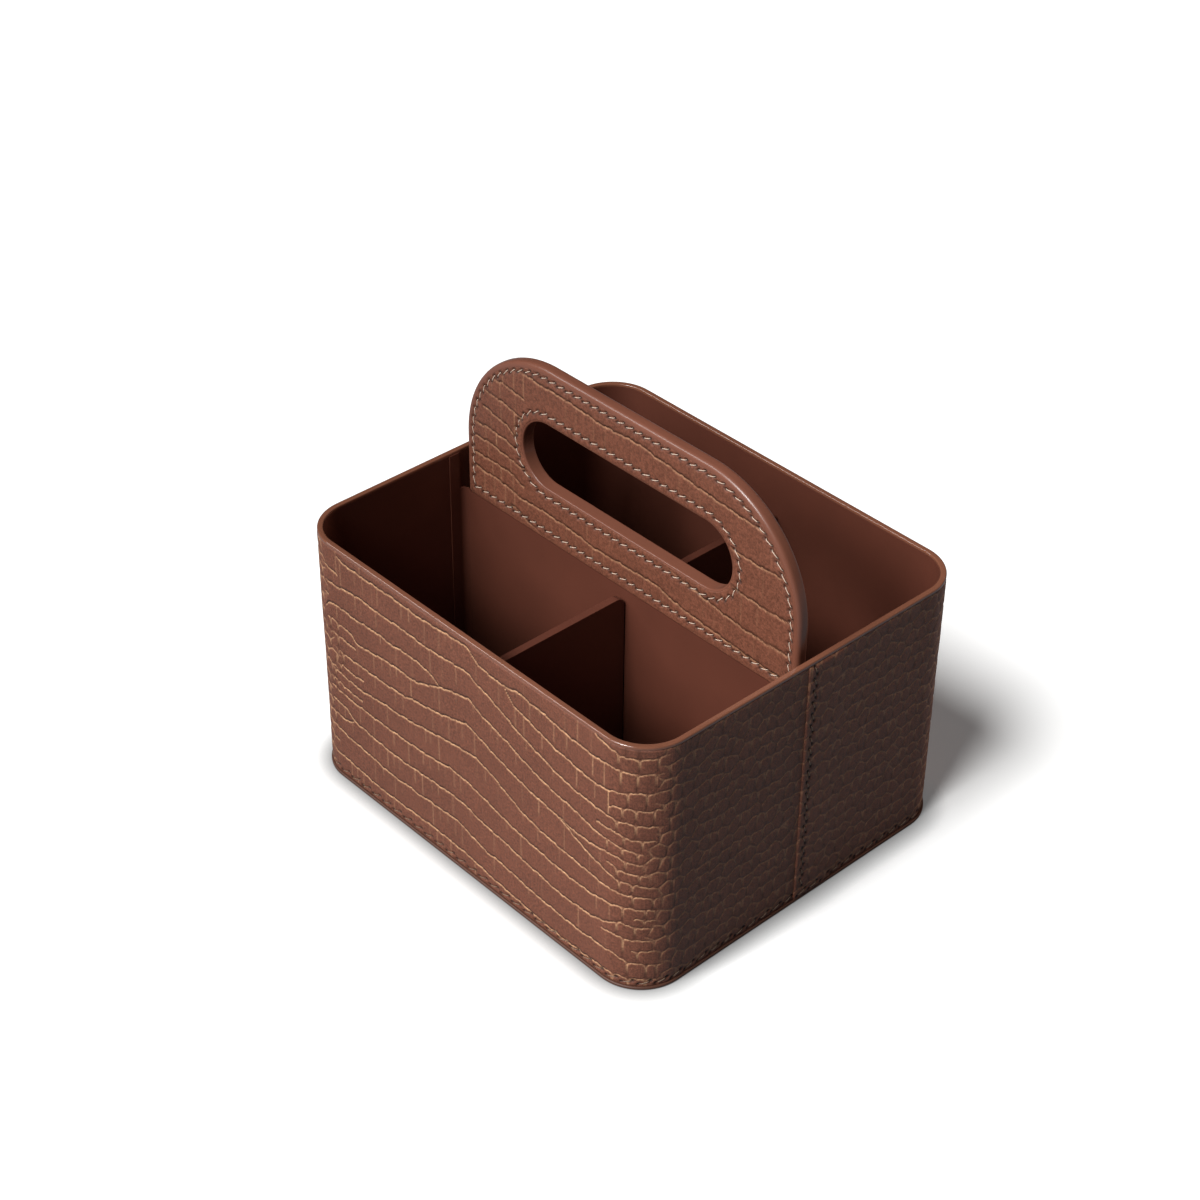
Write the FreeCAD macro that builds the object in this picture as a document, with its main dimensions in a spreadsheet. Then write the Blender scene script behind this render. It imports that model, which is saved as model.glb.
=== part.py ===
import FreeCAD, Part
import math
import os

import Sketcher
from FreeCAD import Placement, Rotation, Vector

# Carry-all caddy: an open box of stiff board in leather, with a long middle wall that rises
# above the rim as a carry handle, and two cross dividers. X runs along the handle, Y across
# the box, Z up. The origin is on the table, under the middle of the box. Lengths are in mm.

# Driving sizes: name, value, what it measures.
SIZES = (
    ("box_length", "240", "outside length of the walls"),
    ("box_width", "207", "outside width of the walls"),
    ("rim_height", "142", "table to the top of the rim"),
    ("corner_radius", "24", "outside radius of the upright corners"),
    ("wrap_thickness", "0.8", "embossed leather on the outside"),
    ("wall_board_thickness", "1.6", "stiff board in the walls"),
    ("lining_thickness", "0.6", "plain leather inside"),
    ("rim_band_drop", "1.6", "height of the binding's band on the wall"),
    ("rim_band_cover", "0.7", "binding over the top of the wall board"),
    ("rim_edge_round", "0.7", "rounding of the rim"),
    ("base_cover_thickness", "1.6", "leather sheet under the base"),
    ("base_cover_proud", "0.8", "how far that sheet stands out past the walls"),
    ("base_edge_round", "0.6", "rounding of that sheet's edge"),
    ("base_board_thickness", "5", "stiff board that closes the bottom"),
    ("seam_lap", "3", "rear wrap past the middle of the end, over the front wrap"),
    ("seam_underlap", "9", "front wrap past the middle of the end, under the rear wrap"),
    ("seam_bond", "3", "where the lap is one with the rear wrap"),
    ("handle_end_gap", "4", "handle's edge binding to the lining of the end wall"),
    ("handle_rise", "73", "rim to the top of the handle"),
    ("handle_corner_radius", "61", "outside radius of the handle's shoulders"),
    ("handle_board_thickness", "4.8", "stiff board in the handle and middle wall"),
    ("facing_thickness", "1.2", "embossed leather and padding on each face of the handle"),
    ("facing_drop", "22.5", "rim to the facing's lower edge"),
    ("edge_binding_depth", "3", "plain leather round the handle's edge"),
    ("edge_binding_round", "2.4", "rounding of that edge"),
    ("slot_length", "141.5", "hand slot, end to end"),
    ("slot_height", "36", "hand slot, across"),
    ("slot_rise", "25.2", "rim to the middle of the hand slot"),
    ("slot_lining_thickness", "1", "plain leather inside the hand slot"),
    ("panel_flange", "6", "middle wall's lining where it lies on the end wall"),
    ("panel_cove_radius", "3", "bend of that lining in the corner"),
    ("divider_drop", "26.5", "rim to the top of the dividers"),
    ("divider_board_thickness", "2.4", "stiff board in a divider"),
    ("divider_cover_thickness", "0.8", "leather folded over a divider"),
    ("divider_corner_radius", "5", "top corners of a divider"),
    ("divider_gap", "0.8", "divider to the middle wall"),
    ("thread_width", "0.8", "sewing thread, across"),
    ("thread_height", "0.4", "sewing thread, proud of the leather"),
    ("handle_stitch_pitch", "5.8", "stitch to stitch on the handle"),
    ("handle_stitch_length", "4.4", "one stitch on the handle"),
    ("handle_stitch_inset", "5", "stitches to the edge of the handle or slot"),
    ("base_stitch_pitch", "8.1", "stitch to stitch round the base"),
    ("base_stitch_length", "6", "one stitch round the base"),
    ("base_stitch_rise", "4", "table to the stitches round the base"),
    ("seam_stitch_pitch", "6.6", "stitch to stitch on an end seam"),
    ("seam_stitch_length", "4.8", "one stitch on an end seam"),
    ("seam_stitch_inset", "4.2", "stitches to the edge of the lap"),
)

FRONT = "-1"
REAR = "1"

doc = FreeCAD.newDocument("carry_all_caddy")
sheet = doc.addObject("Spreadsheet::Sheet", "Sizes")
for row, (alias, text, meaning) in enumerate(SIZES, start=1):
    sheet.set(f"A{row}", meaning)
    sheet.set(f"B{row}", text)
    sheet.setAlias(f"B{row}", alias)
doc.recompute()

# Sizes that follow from the driving ones, as expressions on the sheet.
HALF_LENGTH = "Sizes.box_length / 2"
BOARD_INSET = "Sizes.wrap_thickness"
LINING_INSET = f"({BOARD_INSET} + Sizes.wall_board_thickness)"
WALL = f"({LINING_INSET} + Sizes.lining_thickness)"
BAND_LOW = "(Sizes.rim_height - Sizes.rim_band_drop)"
BOARD_TOP = "(Sizes.rim_height - Sizes.rim_band_cover)"
BASE_LOW = "Sizes.base_cover_thickness"
BASE_TOP = f"({BASE_LOW} + Sizes.base_board_thickness)"
FLOOR = f"({BASE_TOP} + Sizes.lining_thickness)"
HALF_HANDLE = f"({HALF_LENGTH} - {WALL} - Sizes.handle_end_gap)"
HANDLE_TOP = "(Sizes.rim_height + Sizes.handle_rise)"
HALF_BOARD = f"({HALF_HANDLE} - Sizes.edge_binding_depth)"
HANDLE_BOARD_TOP = f"({HANDLE_TOP} - Sizes.edge_binding_depth)"
HANDLE_BOARD_RADIUS = "(Sizes.handle_corner_radius - Sizes.edge_binding_depth)"
HANDLE_THICKNESS = "(Sizes.handle_board_thickness + 2 * Sizes.facing_thickness)"
FACING_LOW = "(Sizes.rim_height - Sizes.facing_drop)"
PANEL_FACE = "(Sizes.handle_board_thickness / 2 + Sizes.lining_thickness)"
SLOT_MIDDLE = "(Sizes.rim_height + Sizes.slot_rise)"
DIVIDER_TOP = "(Sizes.rim_height - Sizes.divider_drop)"
DIVIDER_THICKNESS = "(Sizes.divider_board_thickness + 2 * Sizes.divider_cover_thickness)"
SEAM_LINE = "(Sizes.seam_stitch_inset - Sizes.seam_lap)"

parts = []


def number(expression):
    """Present value of an expression on the sheet."""
    return float(sheet.evalExpression(expression))


def new_body(label):
    """Empty body for one sub-part."""
    body = doc.addObject("PartDesign::Body", label)
    body.Label = label
    parts.append(body)
    return body


def new_sketch(body, role, offset="0"):
    """Sketch on one of the body's own planes, moved along the plane's normal."""
    sketch = body.newObject("Sketcher::SketchObject", f"{body.Label}_sketch")
    plane = next(f for f in body.Origin.OriginFeatures if f.Role == role)
    sketch.AttachmentSupport = [(plane, "")]
    sketch.MapMode = "FlatFace"
    sketch.setExpression("AttachmentOffset.Base.z", offset)
    return sketch


def bind(sketch, expression, *constraint):
    """Add a dimension and tie it to the sheet."""
    index = sketch.addConstraint(Sketcher.Constraint(*constraint, number(expression)))
    sketch.setExpression(f"Constraints[{index}]", expression)


def outline(sketch, corners):
    """Closed outline of level and upright lines; a corner with a radius is a tangent arc.

    corners: (x, y, radius) as expressions, radius None where the corner is sharp."""
    points = [Vector(number(x), number(y)) for x, y, _ in corners]
    radii = [number(r) if r else 0 for _, _, r in corners]
    count = len(corners)
    ways = []
    for i in range(count):
        way = points[(i + 1) % count] - points[i]
        ways.append(way.normalize())
    lines = []
    for i in range(count):
        j = (i + 1) % count
        start = points[i] + ways[i] * radii[i]
        end = points[j] - ways[i] * radii[j]
        lines.append(sketch.addGeometry(Part.LineSegment(start, end)))
    for i, (x, y, radius) in enumerate(corners):
        level = abs(ways[i].y) < abs(ways[i].x)
        sketch.addConstraint(Sketcher.Constraint("Horizontal" if level else "Vertical", lines[i]))
        bind(sketch, y if level else x, "DistanceY" if level else "DistanceX", -1, 1, lines[i], 1)
        before = lines[i - 1]
        if not radius:
            sketch.addConstraint(Sketcher.Constraint("Coincident", before, 2, lines[i], 1))
            continue
        came, goes = ways[i - 1], ways[i]
        centre = points[i] + (goes - came) * radii[i]
        first = points[i] - came * radii[i] - centre
        last = points[i] + goes * radii[i] - centre
        left_turn = came.cross(goes).z > 0
        from_way, to_way = (first, last) if left_turn else (last, first)
        angle = math.atan2(from_way.y, from_way.x)
        circle = Part.Circle(centre, Vector(0, 0, 1), radii[i])
        arc = sketch.addGeometry(Part.ArcOfCircle(circle, angle, angle + math.pi / 2))
        near, far = (1, 2) if left_turn else (2, 1)
        sketch.addConstraint(Sketcher.Constraint("Tangent", before, 2, arc, near))
        sketch.addConstraint(Sketcher.Constraint("Tangent", arc, far, lines[i], 1))
        bind(sketch, radius, "Radius", arc)


def rectangle(sketch, x_low, x_high, y_low, y_high, radius=None):
    """Rectangle between two x and two y places, with equal corners."""
    outline(sketch, [
        (x_low, y_low, radius),
        (x_high, y_low, radius),
        (x_high, y_high, radius),
        (x_low, y_high, radius),
    ])


def box_outline(sketch, inset):
    """The box seen from above, moved inwards by an inset."""
    x = f"({HALF_LENGTH} - {inset})"
    y = f"(Sizes.box_width / 2 - {inset})"
    rectangle(sketch, f"-{x}", x, f"-{y}", y, f"(Sizes.corner_radius - {inset})")


def slot_outline(sketch, outset):
    """The hand slot with its round ends, moved outwards by an outset."""
    radius = f"(Sizes.slot_height / 2 + {outset})"
    reach = "((Sizes.slot_length - Sizes.slot_height) / 2)"
    r, x, z = number(radius), number(reach), number(SLOT_MIDDLE)
    up = Vector(0, 0, 1)
    quarter = math.pi / 2
    right = sketch.addGeometry(Part.ArcOfCircle(Part.Circle(Vector(x, z), up, r), -quarter, quarter))
    left = sketch.addGeometry(Part.ArcOfCircle(Part.Circle(Vector(-x, z), up, r), quarter, 3 * quarter))
    top = sketch.addGeometry(Part.LineSegment(Vector(x, z + r), Vector(-x, z + r)))
    low = sketch.addGeometry(Part.LineSegment(Vector(-x, z - r), Vector(x, z - r)))
    for one, other in ((right, top), (top, left), (left, low), (low, right)):
        sketch.addConstraint(Sketcher.Constraint("Tangent", one, 2, other, 1))
    sketch.addConstraint(Sketcher.Constraint("Equal", left, right))
    bind(sketch, radius, "Radius", right)
    bind(sketch, reach, "DistanceX", -1, 1, right, 3)
    bind(sketch, SLOT_MIDDLE, "DistanceY", -1, 1, right, 3)
    bind(sketch, f"-{reach}", "DistanceX", -1, 1, left, 3)
    bind(sketch, SLOT_MIDDLE, "DistanceY", -1, 1, left, 3)


def arch_outline(sketch, low):
    """The handle's board seen from the front, from a low edge up."""
    outline(sketch, [
        (f"-{HALF_BOARD}", low, None),
        (HALF_BOARD, low, None),
        (HALF_BOARD, HANDLE_BOARD_TOP, HANDLE_BOARD_RADIUS),
        (f"-{HALF_BOARD}", HANDLE_BOARD_TOP, HANDLE_BOARD_RADIUS),
    ])


def pad(body, sketch, length, middle=False):
    """Grow a sketch into the body, to one side or evenly to both."""
    feature = body.newObject("PartDesign::Pad", f"{body.Label}_pad")
    feature.Profile = sketch
    feature.setExpression("Length", length)
    feature.Midplane = middle
    sketch.Visibility = False
    return feature


def round_edges(body, radius, chosen):
    """Round the edges of the body's shape that the test picks."""
    doc.recompute()
    base = body.Tip
    names = [f"Edge{i}" for i, edge in enumerate(base.Shape.Edges, start=1) if chosen(edge)]
    if not names:
        raise RuntimeError(f"no edge to round on {body.Label}")
    feature = body.newObject("PartDesign::Fillet", f"{body.Label}_round")
    feature.Base = (base, names)
    feature.setExpression("Radius", radius)


def wall_strip(label, side, inset, thickness, low, high, end="0"):
    """Half of the wall: a strip from the middle of one end round to the other."""
    body = new_body(label)
    sketch = new_sketch(body, "XY_Plane", low)
    x_out = f"({HALF_LENGTH} - {inset})"
    x_in = f"({x_out} - {thickness})"
    y_out = f"({side} * (Sizes.box_width / 2 - {inset}))"
    y_in = f"({y_out} - {side} * {thickness})"
    r_out = f"(Sizes.corner_radius - {inset})"
    r_in = f"({r_out} - {thickness})"
    outline(sketch, [
        (x_out, end, None),
        (x_out, y_out, r_out),
        (f"-{x_out}", y_out, r_out),
        (f"-{x_out}", end, None),
        (f"-{x_in}", end, None),
        (f"-{x_in}", y_in, r_in),
        (x_in, y_in, r_in),
        (x_in, end, None),
    ])
    pad(body, sketch, f"{high} - {low}")
    return body


def make_walls():
    """Boards, linings and outer wraps, each in a front and a rear half."""
    for name, side in (("front", FRONT), ("rear", REAR)):
        wall_strip(f"{name}_wall_board", side, BOARD_INSET, "Sizes.wall_board_thickness",
                   BASE_LOW, BOARD_TOP)
        wall_strip(f"{name}_wall_lining", side, LINING_INSET, "Sizes.lining_thickness", FLOOR, BAND_LOW)
        wrap = wall_strip(f"{name}_outer_wrap", side, "0", "Sizes.wrap_thickness", BASE_LOW, BAND_LOW,
                          "Sizes.seam_underlap")
    lap = new_sketch(wrap, "XY_Plane", BASE_LOW)
    outside = f"({HALF_LENGTH} + Sizes.wrap_thickness)"
    for x_low, x_high in ((HALF_LENGTH, outside), (f"-{outside}", f"-{HALF_LENGTH}")):
        rectangle(lap, x_low, x_high, "-Sizes.seam_lap", "Sizes.seam_underlap + Sizes.seam_bond")
    pad(wrap, lap, f"{BAND_LOW} - {BASE_LOW}")


def make_rim_binding():
    """Plain leather folded over the top of the wall board."""
    body = new_body("rim_binding")
    lips = new_sketch(body, "XY_Plane", BAND_LOW)
    for inset in ("0", BOARD_INSET, LINING_INSET, WALL):
        box_outline(lips, inset)
    pad(body, lips, f"{BOARD_TOP} - {BAND_LOW}")
    cap = new_sketch(body, "XY_Plane", BOARD_TOP)
    for inset in ("0", WALL):
        box_outline(cap, inset)
    pad(body, cap, f"Sizes.rim_height - {BOARD_TOP}")
    top = number("Sizes.rim_height")
    round_edges(body, "Sizes.rim_edge_round",
                lambda edge: math.isclose(edge.BoundBox.ZMin, top, rel_tol=1e-6))


def make_base():
    """Leather sheet on the table, the board over it and the floor linings."""
    cover = new_body("base_cover")
    sheet_outline = new_sketch(cover, "XY_Plane")
    box_outline(sheet_outline, "(-Sizes.base_cover_proud)")
    pad(cover, sheet_outline, "Sizes.base_cover_thickness")
    round_edges(cover, "Sizes.base_edge_round", lambda edge: edge.BoundBox.ZLength < number(BASE_LOW) / 2)

    board = new_body("base_board")
    board_outline = new_sketch(board, "XY_Plane", BASE_LOW)
    box_outline(board_outline, LINING_INSET)
    pad(board, board_outline, "Sizes.base_board_thickness")

    x = f"({HALF_LENGTH} - {LINING_INSET})"
    radius = f"(Sizes.corner_radius - {LINING_INSET})"
    for name, side in (("front", FRONT), ("rear", REAR)):
        lining = new_body(f"{name}_floor_lining")
        floor = new_sketch(lining, "XY_Plane", BASE_TOP)
        near = f"({side} * Sizes.handle_board_thickness / 2)"
        far = f"({side} * (Sizes.box_width / 2 - {LINING_INSET}))"
        outline(floor, [(f"-{x}", near, None), (f"-{x}", far, radius), (x, far, radius), (x, near, None)])
        pad(lining, floor, "Sizes.lining_thickness")


def make_handle():
    """Middle wall and handle: board, facings, edge binding and slot lining."""
    board = new_body("handle_board")
    board_face = new_sketch(board, "XZ_Plane")
    arch_outline(board_face, BASE_TOP)
    slot_outline(board_face, "Sizes.slot_lining_thickness")
    pad(board, board_face, "Sizes.handle_board_thickness", middle=True)

    # The sketch plane's normal points to the front, so the rear facing starts at its far face.
    starts = {
        "front": "Sizes.handle_board_thickness / 2",
        "rear": "-Sizes.handle_board_thickness / 2 - Sizes.facing_thickness",
    }
    for name, start in starts.items():
        facing = new_body(f"handle_{name}_facing")
        face = new_sketch(facing, "XZ_Plane", start)
        arch_outline(face, FACING_LOW)
        slot_outline(face, "Sizes.slot_lining_thickness")
        pad(facing, face, "Sizes.facing_thickness")

    binding = new_body("handle_edge_binding")
    edge = new_sketch(binding, "XZ_Plane")
    outline(edge, [
        (f"-{HALF_HANDLE}", FACING_LOW, None),
        (f"-{HALF_HANDLE}", HANDLE_TOP, "Sizes.handle_corner_radius"),
        (HALF_HANDLE, HANDLE_TOP, "Sizes.handle_corner_radius"),
        (HALF_HANDLE, FACING_LOW, None),
        (HALF_BOARD, FACING_LOW, None),
        (HALF_BOARD, HANDLE_BOARD_TOP, HANDLE_BOARD_RADIUS),
        (f"-{HALF_BOARD}", HANDLE_BOARD_TOP, HANDLE_BOARD_RADIUS),
        (f"-{HALF_BOARD}", FACING_LOW, None),
    ])
    pad(binding, edge, HANDLE_THICKNESS, middle=True)
    side_limit = (number(HALF_HANDLE) + number(HALF_BOARD)) / 2
    top_limit = (number(HANDLE_TOP) + number(HANDLE_BOARD_TOP)) / 2
    low_limit = number(FACING_LOW)

    def on_outside(line):
        """Long edges of the binding's two faces, on its outer side."""
        box = line.BoundBox
        flat = box.YLength < box.DiagonalLength / 2
        reaches = max(box.XMax, -box.XMin) > side_limit or box.ZMax > top_limit
        end = math.isclose(box.ZMax, low_limit, rel_tol=1e-6)
        return flat and reaches and not end

    round_edges(binding, "Sizes.edge_binding_round", on_outside)

    lining = new_body("slot_lining")
    ring = new_sketch(lining, "XZ_Plane")
    slot_outline(ring, "Sizes.slot_lining_thickness")
    slot_outline(ring, "0")
    pad(lining, ring, HANDLE_THICKNESS, middle=True)


def make_panel_linings():
    """Plain leather on the middle wall, bent on to both end walls."""
    wall = f"({HALF_LENGTH} - {WALL})"
    face = f"({wall} - Sizes.lining_thickness)"
    bend = "(Sizes.panel_cove_radius + Sizes.lining_thickness)"
    for name, side in (("front", FRONT), ("rear", REAR)):
        body = new_body(f"panel_{name}_lining")
        plan = new_sketch(body, "XY_Plane", FLOOR)
        back = f"({side} * Sizes.handle_board_thickness / 2)"
        front = f"({side} * {PANEL_FACE})"
        bent = f"({side} * ({PANEL_FACE} + Sizes.panel_cove_radius))"
        end = f"({side} * ({PANEL_FACE} + Sizes.panel_cove_radius + Sizes.panel_flange))"
        outline(plan, [
            (f"-{wall}", end, None),
            (f"-{wall}", back, bend),
            (wall, back, bend),
            (wall, end, None),
            (face, end, None),
            (face, front, "Sizes.panel_cove_radius"),
            (f"-{face}", front, "Sizes.panel_cove_radius"),
            (f"-{face}", end, None),
        ])
        pad(body, plan, f"{FACING_LOW} - {FLOOR}")
        flanges = new_sketch(body, "XY_Plane", FACING_LOW)
        low, high = (end, bent) if side == FRONT else (bent, end)
        for x_low, x_high in ((face, wall), (f"-{wall}", f"-{face}")):
            rectangle(flanges, x_low, x_high, low, high)
        pad(body, flanges, f"{BAND_LOW} - {FACING_LOW}")


def make_dividers():
    """Cross walls at mid length: a board and the leather folded over it."""
    cover = "Sizes.divider_cover_thickness"
    for name, side in (("front", FRONT), ("rear", REAR)):
        near = f"{PANEL_FACE} + Sizes.divider_gap"
        far = f"Sizes.box_width / 2 - {WALL}"

        def cross_wall(sketch, inset, radius):
            """Divider seen from the end of the box, moved in from its cover."""
            y_near = f"({side} * ({near} + {inset}))"
            y_far = f"({side} * ({far} - {inset}))"
            top = f"({DIVIDER_TOP} - {inset})"
            outline(sketch, [
                (y_near, FLOOR, None),
                (y_far, FLOOR, None),
                (y_far, top, radius),
                (y_near, top, radius),
            ])

        board_radius = f"(Sizes.divider_corner_radius - {cover})"
        board = new_body(f"{name}_divider_board")
        board_face = new_sketch(board, "YZ_Plane")
        cross_wall(board_face, cover, board_radius)
        pad(board, board_face, "Sizes.divider_board_thickness", middle=True)

        leather = new_body(f"{name}_divider_cover")
        leather_face = new_sketch(leather, "YZ_Plane")
        cross_wall(leather_face, "0", "Sizes.divider_corner_radius")
        solid = pad(leather, leather_face, DIVIDER_THICKNESS, middle=True)
        hollow_face = new_sketch(leather, "YZ_Plane")
        cross_wall(hollow_face, cover, board_radius)
        doc.recompute()
        hollow = leather.newObject("PartDesign::Pocket", f"{leather.Label}_hollow")
        hollow.Profile = hollow_face
        hollow.setExpression("Length", "Sizes.divider_board_thickness")
        hollow.Midplane = True
        doc.recompute()
        if not math.isclose(solid.Shape.Volume - hollow.Shape.Volume, board.Shape.Volume, rel_tol=1e-6):
            raise RuntimeError(f"the board doesn't fill {leather.Label}")


def stitch(middle, along, out, length):
    """One thread lying on the leather."""
    width = number("Sizes.thread_width")
    height = number("Sizes.thread_height")
    thread = Part.makeBox(length, width, height, Vector(-length / 2, -width / 2, 0))
    thread.Placement = Placement(middle, Rotation(along, out.cross(along), out, "XZY"))
    return thread


def stitch_run(wire, pitch, length, outwards):
    """Threads along a wire; outwards gives the leather's normal and offset at a place."""
    count = max(1, round(wire.Length / pitch))
    places = wire.discretize(Number=2 * count + 1)
    threads = []
    for i in range(count):
        before, middle, after = places[2 * i:2 * i + 3]
        along = (after - before).normalize()
        out, offset = outwards(middle, along)
        threads.append(stitch(middle + out * offset, along, out, length))
    return threads


def add_stitches(label, threads):
    """A run of separate threads as one sub-part."""
    feature = doc.addObject("Part::Feature", label)
    feature.Label = label
    feature.Shape = Part.makeCompound(threads)
    feature.Placement = Placement()
    parts.append(feature)


def joined(points):
    """Wire through points, where a group of three is an arc through them."""
    edges = []
    for piece in points:
        curve = Part.Arc(*piece) if len(piece) == 3 else Part.LineSegment(*piece)
        edges.append(curve.toShape())
    return Part.Wire(edges)


def quarter_arc(centre, radius, start, y):
    """Quarter of a circle in an upright plane, clockwise from an angle in quarter turns."""
    spots = []
    for share in (0, 0.5, 1):
        angle = (start - share) * math.pi / 2
        spots.append(Vector(centre.x + radius * math.cos(angle), y, centre.z + radius * math.sin(angle)))
    return spots


def make_handle_stitches():
    """Outline, slot ring and lower row, on both faces of the handle."""
    inset = number("Sizes.handle_stitch_inset")
    pitch = number("Sizes.handle_stitch_pitch")
    length = number("Sizes.handle_stitch_length")
    shoulder = number("Sizes.handle_corner_radius")
    x = number(HALF_HANDLE)
    top = number(HANDLE_TOP)
    low = number(FACING_LOW) + inset
    radius = shoulder - inset
    slot_x = number("(Sizes.slot_length - Sizes.slot_height) / 2")
    slot_z = number(SLOT_MIDDLE)
    slot_r = number("Sizes.slot_height") / 2 + inset
    for name, side in (("front", FRONT), ("rear", REAR)):
        out = Vector(0, float(side), 0)
        y = float(side) * number(HANDLE_THICKNESS) / 2

        def on_face(middle, along):
            """The facing is flat."""
            return out, 0

        left = quarter_arc(Vector(shoulder - x, 0, top - shoulder), radius, 2, y)
        right = quarter_arc(Vector(x - shoulder, 0, top - shoulder), radius, 1, y)
        foot_left = Vector(inset - x, y, low)
        foot_right = Vector(x - inset, y, low)
        arch = joined([(foot_left, left[0]), left, (left[2], right[0]), right, (right[2], foot_right)])
        add_stitches(f"handle_{name}_outline_stitches", stitch_run(arch, pitch, length, on_face))
        row = joined([(foot_left, foot_right)])
        add_stitches(f"handle_{name}_lower_stitches", stitch_run(row, pitch, length, on_face))
        right_end = Vector(slot_x, 0, slot_z)
        left_end = Vector(-slot_x, 0, slot_z)
        upper_right = quarter_arc(right_end, slot_r, 1, y)
        lower_right = quarter_arc(right_end, slot_r, 0, y)
        lower_left = quarter_arc(left_end, slot_r, 3, y)
        upper_left = quarter_arc(left_end, slot_r, 2, y)
        ring = joined([
            (upper_left[2], upper_right[0]),
            upper_right,
            lower_right,
            (lower_right[2], lower_left[0]),
            lower_left,
            upper_left,
        ])
        add_stitches(f"slot_{name}_stitches", stitch_run(ring, pitch, length, on_face))


def make_seam_stitches():
    """Upright rows that hold the lap at the middle of each end."""
    pitch = number("Sizes.seam_stitch_pitch")
    y = number(SEAM_LINE)
    low = number("Sizes.base_stitch_rise") + pitch / 2
    high = number(BAND_LOW)
    for name, way in (("left", -1), ("right", 1)):
        out = Vector(way, 0, 0)
        x = way * number(f"{HALF_LENGTH} + Sizes.wrap_thickness")
        row = joined([(Vector(x, y, low), Vector(x, y, high))])
        threads = stitch_run(row, pitch, number("Sizes.seam_stitch_length"), lambda middle, along: (out, 0))
        add_stitches(f"{name}_seam_stitches", threads)


def make_base_stitches():
    """Row round the foot of the outer wraps, over the laps at the ends."""
    length = number("Sizes.base_stitch_length")
    height = number("Sizes.base_stitch_rise")
    x = number(HALF_LENGTH)
    y = number("Sizes.box_width") / 2
    lap = number("Sizes.wrap_thickness")
    lap_low = -number("Sizes.seam_lap") - length / 2
    lap_high = number("Sizes.seam_underlap + Sizes.seam_bond") + length / 2
    block = Part.makeBox(2 * x, 2 * y, height, Vector(-x, -y, 0))
    upright = [edge for edge in block.Edges if edge.BoundBox.ZLength > height / 2]
    rounded = block.makeFillet(number("Sizes.corner_radius"), upright)
    top_face = max(rounded.Faces, key=lambda face: face.CenterOfMass.z)
    middle_of_box = Vector(0, 0, height)

    def on_wrap(middle, along):
        """Level normal of the wrap, and the lap's thickness where there is one."""
        out = along.cross(Vector(0, 0, 1))
        if out.dot(middle - middle_of_box) < 0:
            out = out * -1
        on_end = abs(out.x) > abs(out.y)
        return out, lap if on_end and lap_low < middle.y < lap_high else 0

    pitch = number("Sizes.base_stitch_pitch")
    add_stitches("base_stitches", stitch_run(top_face.OuterWire, pitch, length, on_wrap))


def check_and_write():
    """Refuse a failed object, then write each sub-part to its own file."""
    doc.recompute()
    for item in doc.Objects:
        if "Invalid" in item.State or "Error" in item.State:
            raise RuntimeError(f"{item.Label} failed: {item.State}")
    for item in parts:
        if item.Shape.isNull() or not item.Shape.isValid():
            raise RuntimeError(f"{item.Label} has no valid shape")
    os.makedirs("parts", exist_ok=True)
    for item in parts:
        item.Shape.exportStep(f"parts/{item.Label}.step")


make_walls()
make_rim_binding()
make_base()
make_handle()
make_panel_linings()
make_dividers()
make_handle_stitches()
make_seam_stitches()
make_base_stitches()
check_and_write()
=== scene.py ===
"""Looks of a carry-all caddy in scale-embossed leather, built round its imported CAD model."""

import math

import bmesh
import bpy
import numpy as np
from mathutils import Matrix, Vector


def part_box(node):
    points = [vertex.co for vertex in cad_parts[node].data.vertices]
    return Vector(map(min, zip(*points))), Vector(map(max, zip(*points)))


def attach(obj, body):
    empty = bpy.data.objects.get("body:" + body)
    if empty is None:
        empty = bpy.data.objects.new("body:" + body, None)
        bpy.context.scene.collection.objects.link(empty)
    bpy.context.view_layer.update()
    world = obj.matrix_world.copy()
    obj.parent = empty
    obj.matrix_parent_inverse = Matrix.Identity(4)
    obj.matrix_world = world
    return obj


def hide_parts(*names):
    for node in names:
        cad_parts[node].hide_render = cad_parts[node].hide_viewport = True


bl_info = {
    "name": "Carry-all caddy",
    "version": (1, 0, 0),
    "blender": (4, 5, 0),
    "location": "3D View > Sidebar > Caddy",
    "description": "Dresses the caddy's CAD model in embossed leather, thread and studio light",
    "category": "Object",
}

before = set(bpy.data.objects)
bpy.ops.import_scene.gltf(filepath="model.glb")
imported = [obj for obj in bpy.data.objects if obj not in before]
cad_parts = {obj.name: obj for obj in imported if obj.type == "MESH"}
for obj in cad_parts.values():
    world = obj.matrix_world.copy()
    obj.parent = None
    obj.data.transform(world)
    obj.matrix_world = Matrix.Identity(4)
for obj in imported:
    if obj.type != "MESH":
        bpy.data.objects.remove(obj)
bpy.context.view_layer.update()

MM = 0.001
BODY = "root"

# Shares that an embossed mesh keeps for each of its points, for its material to read: rubbed tan with a
# painted highlight, dye with painted shade, and needle holes painted near black as shade.
SHARES = ("rubbed", "dark", "hole")

# Plain leathers: colour, roughness from its lowest to its highest, and weight of the polish on top.
PLAIN_LEATHERS = {
    "smooth_calf_leather": ("smooth", 0.3, 0.4, 0.2),
    "rim_calf_leather": ("rim", 0.14, 0.2, 1.0),
    "lining_calf_leather": ("lining", 0.5, 0.62, 0.0),
    "base_calf_leather": ("base", 0.45, 0.55, 0.0),
}
LEATHER_IOR = 1.47

# Settings of nodes that blend two colours, tint a colour by another, and multiply two numbers.
BLEND = {"data_type": "RGBA"}
TINT = {"data_type": "RGBA", "blend_type": "MULTIPLY"}
TIMES = {"operation": "MULTIPLY"}
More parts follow.
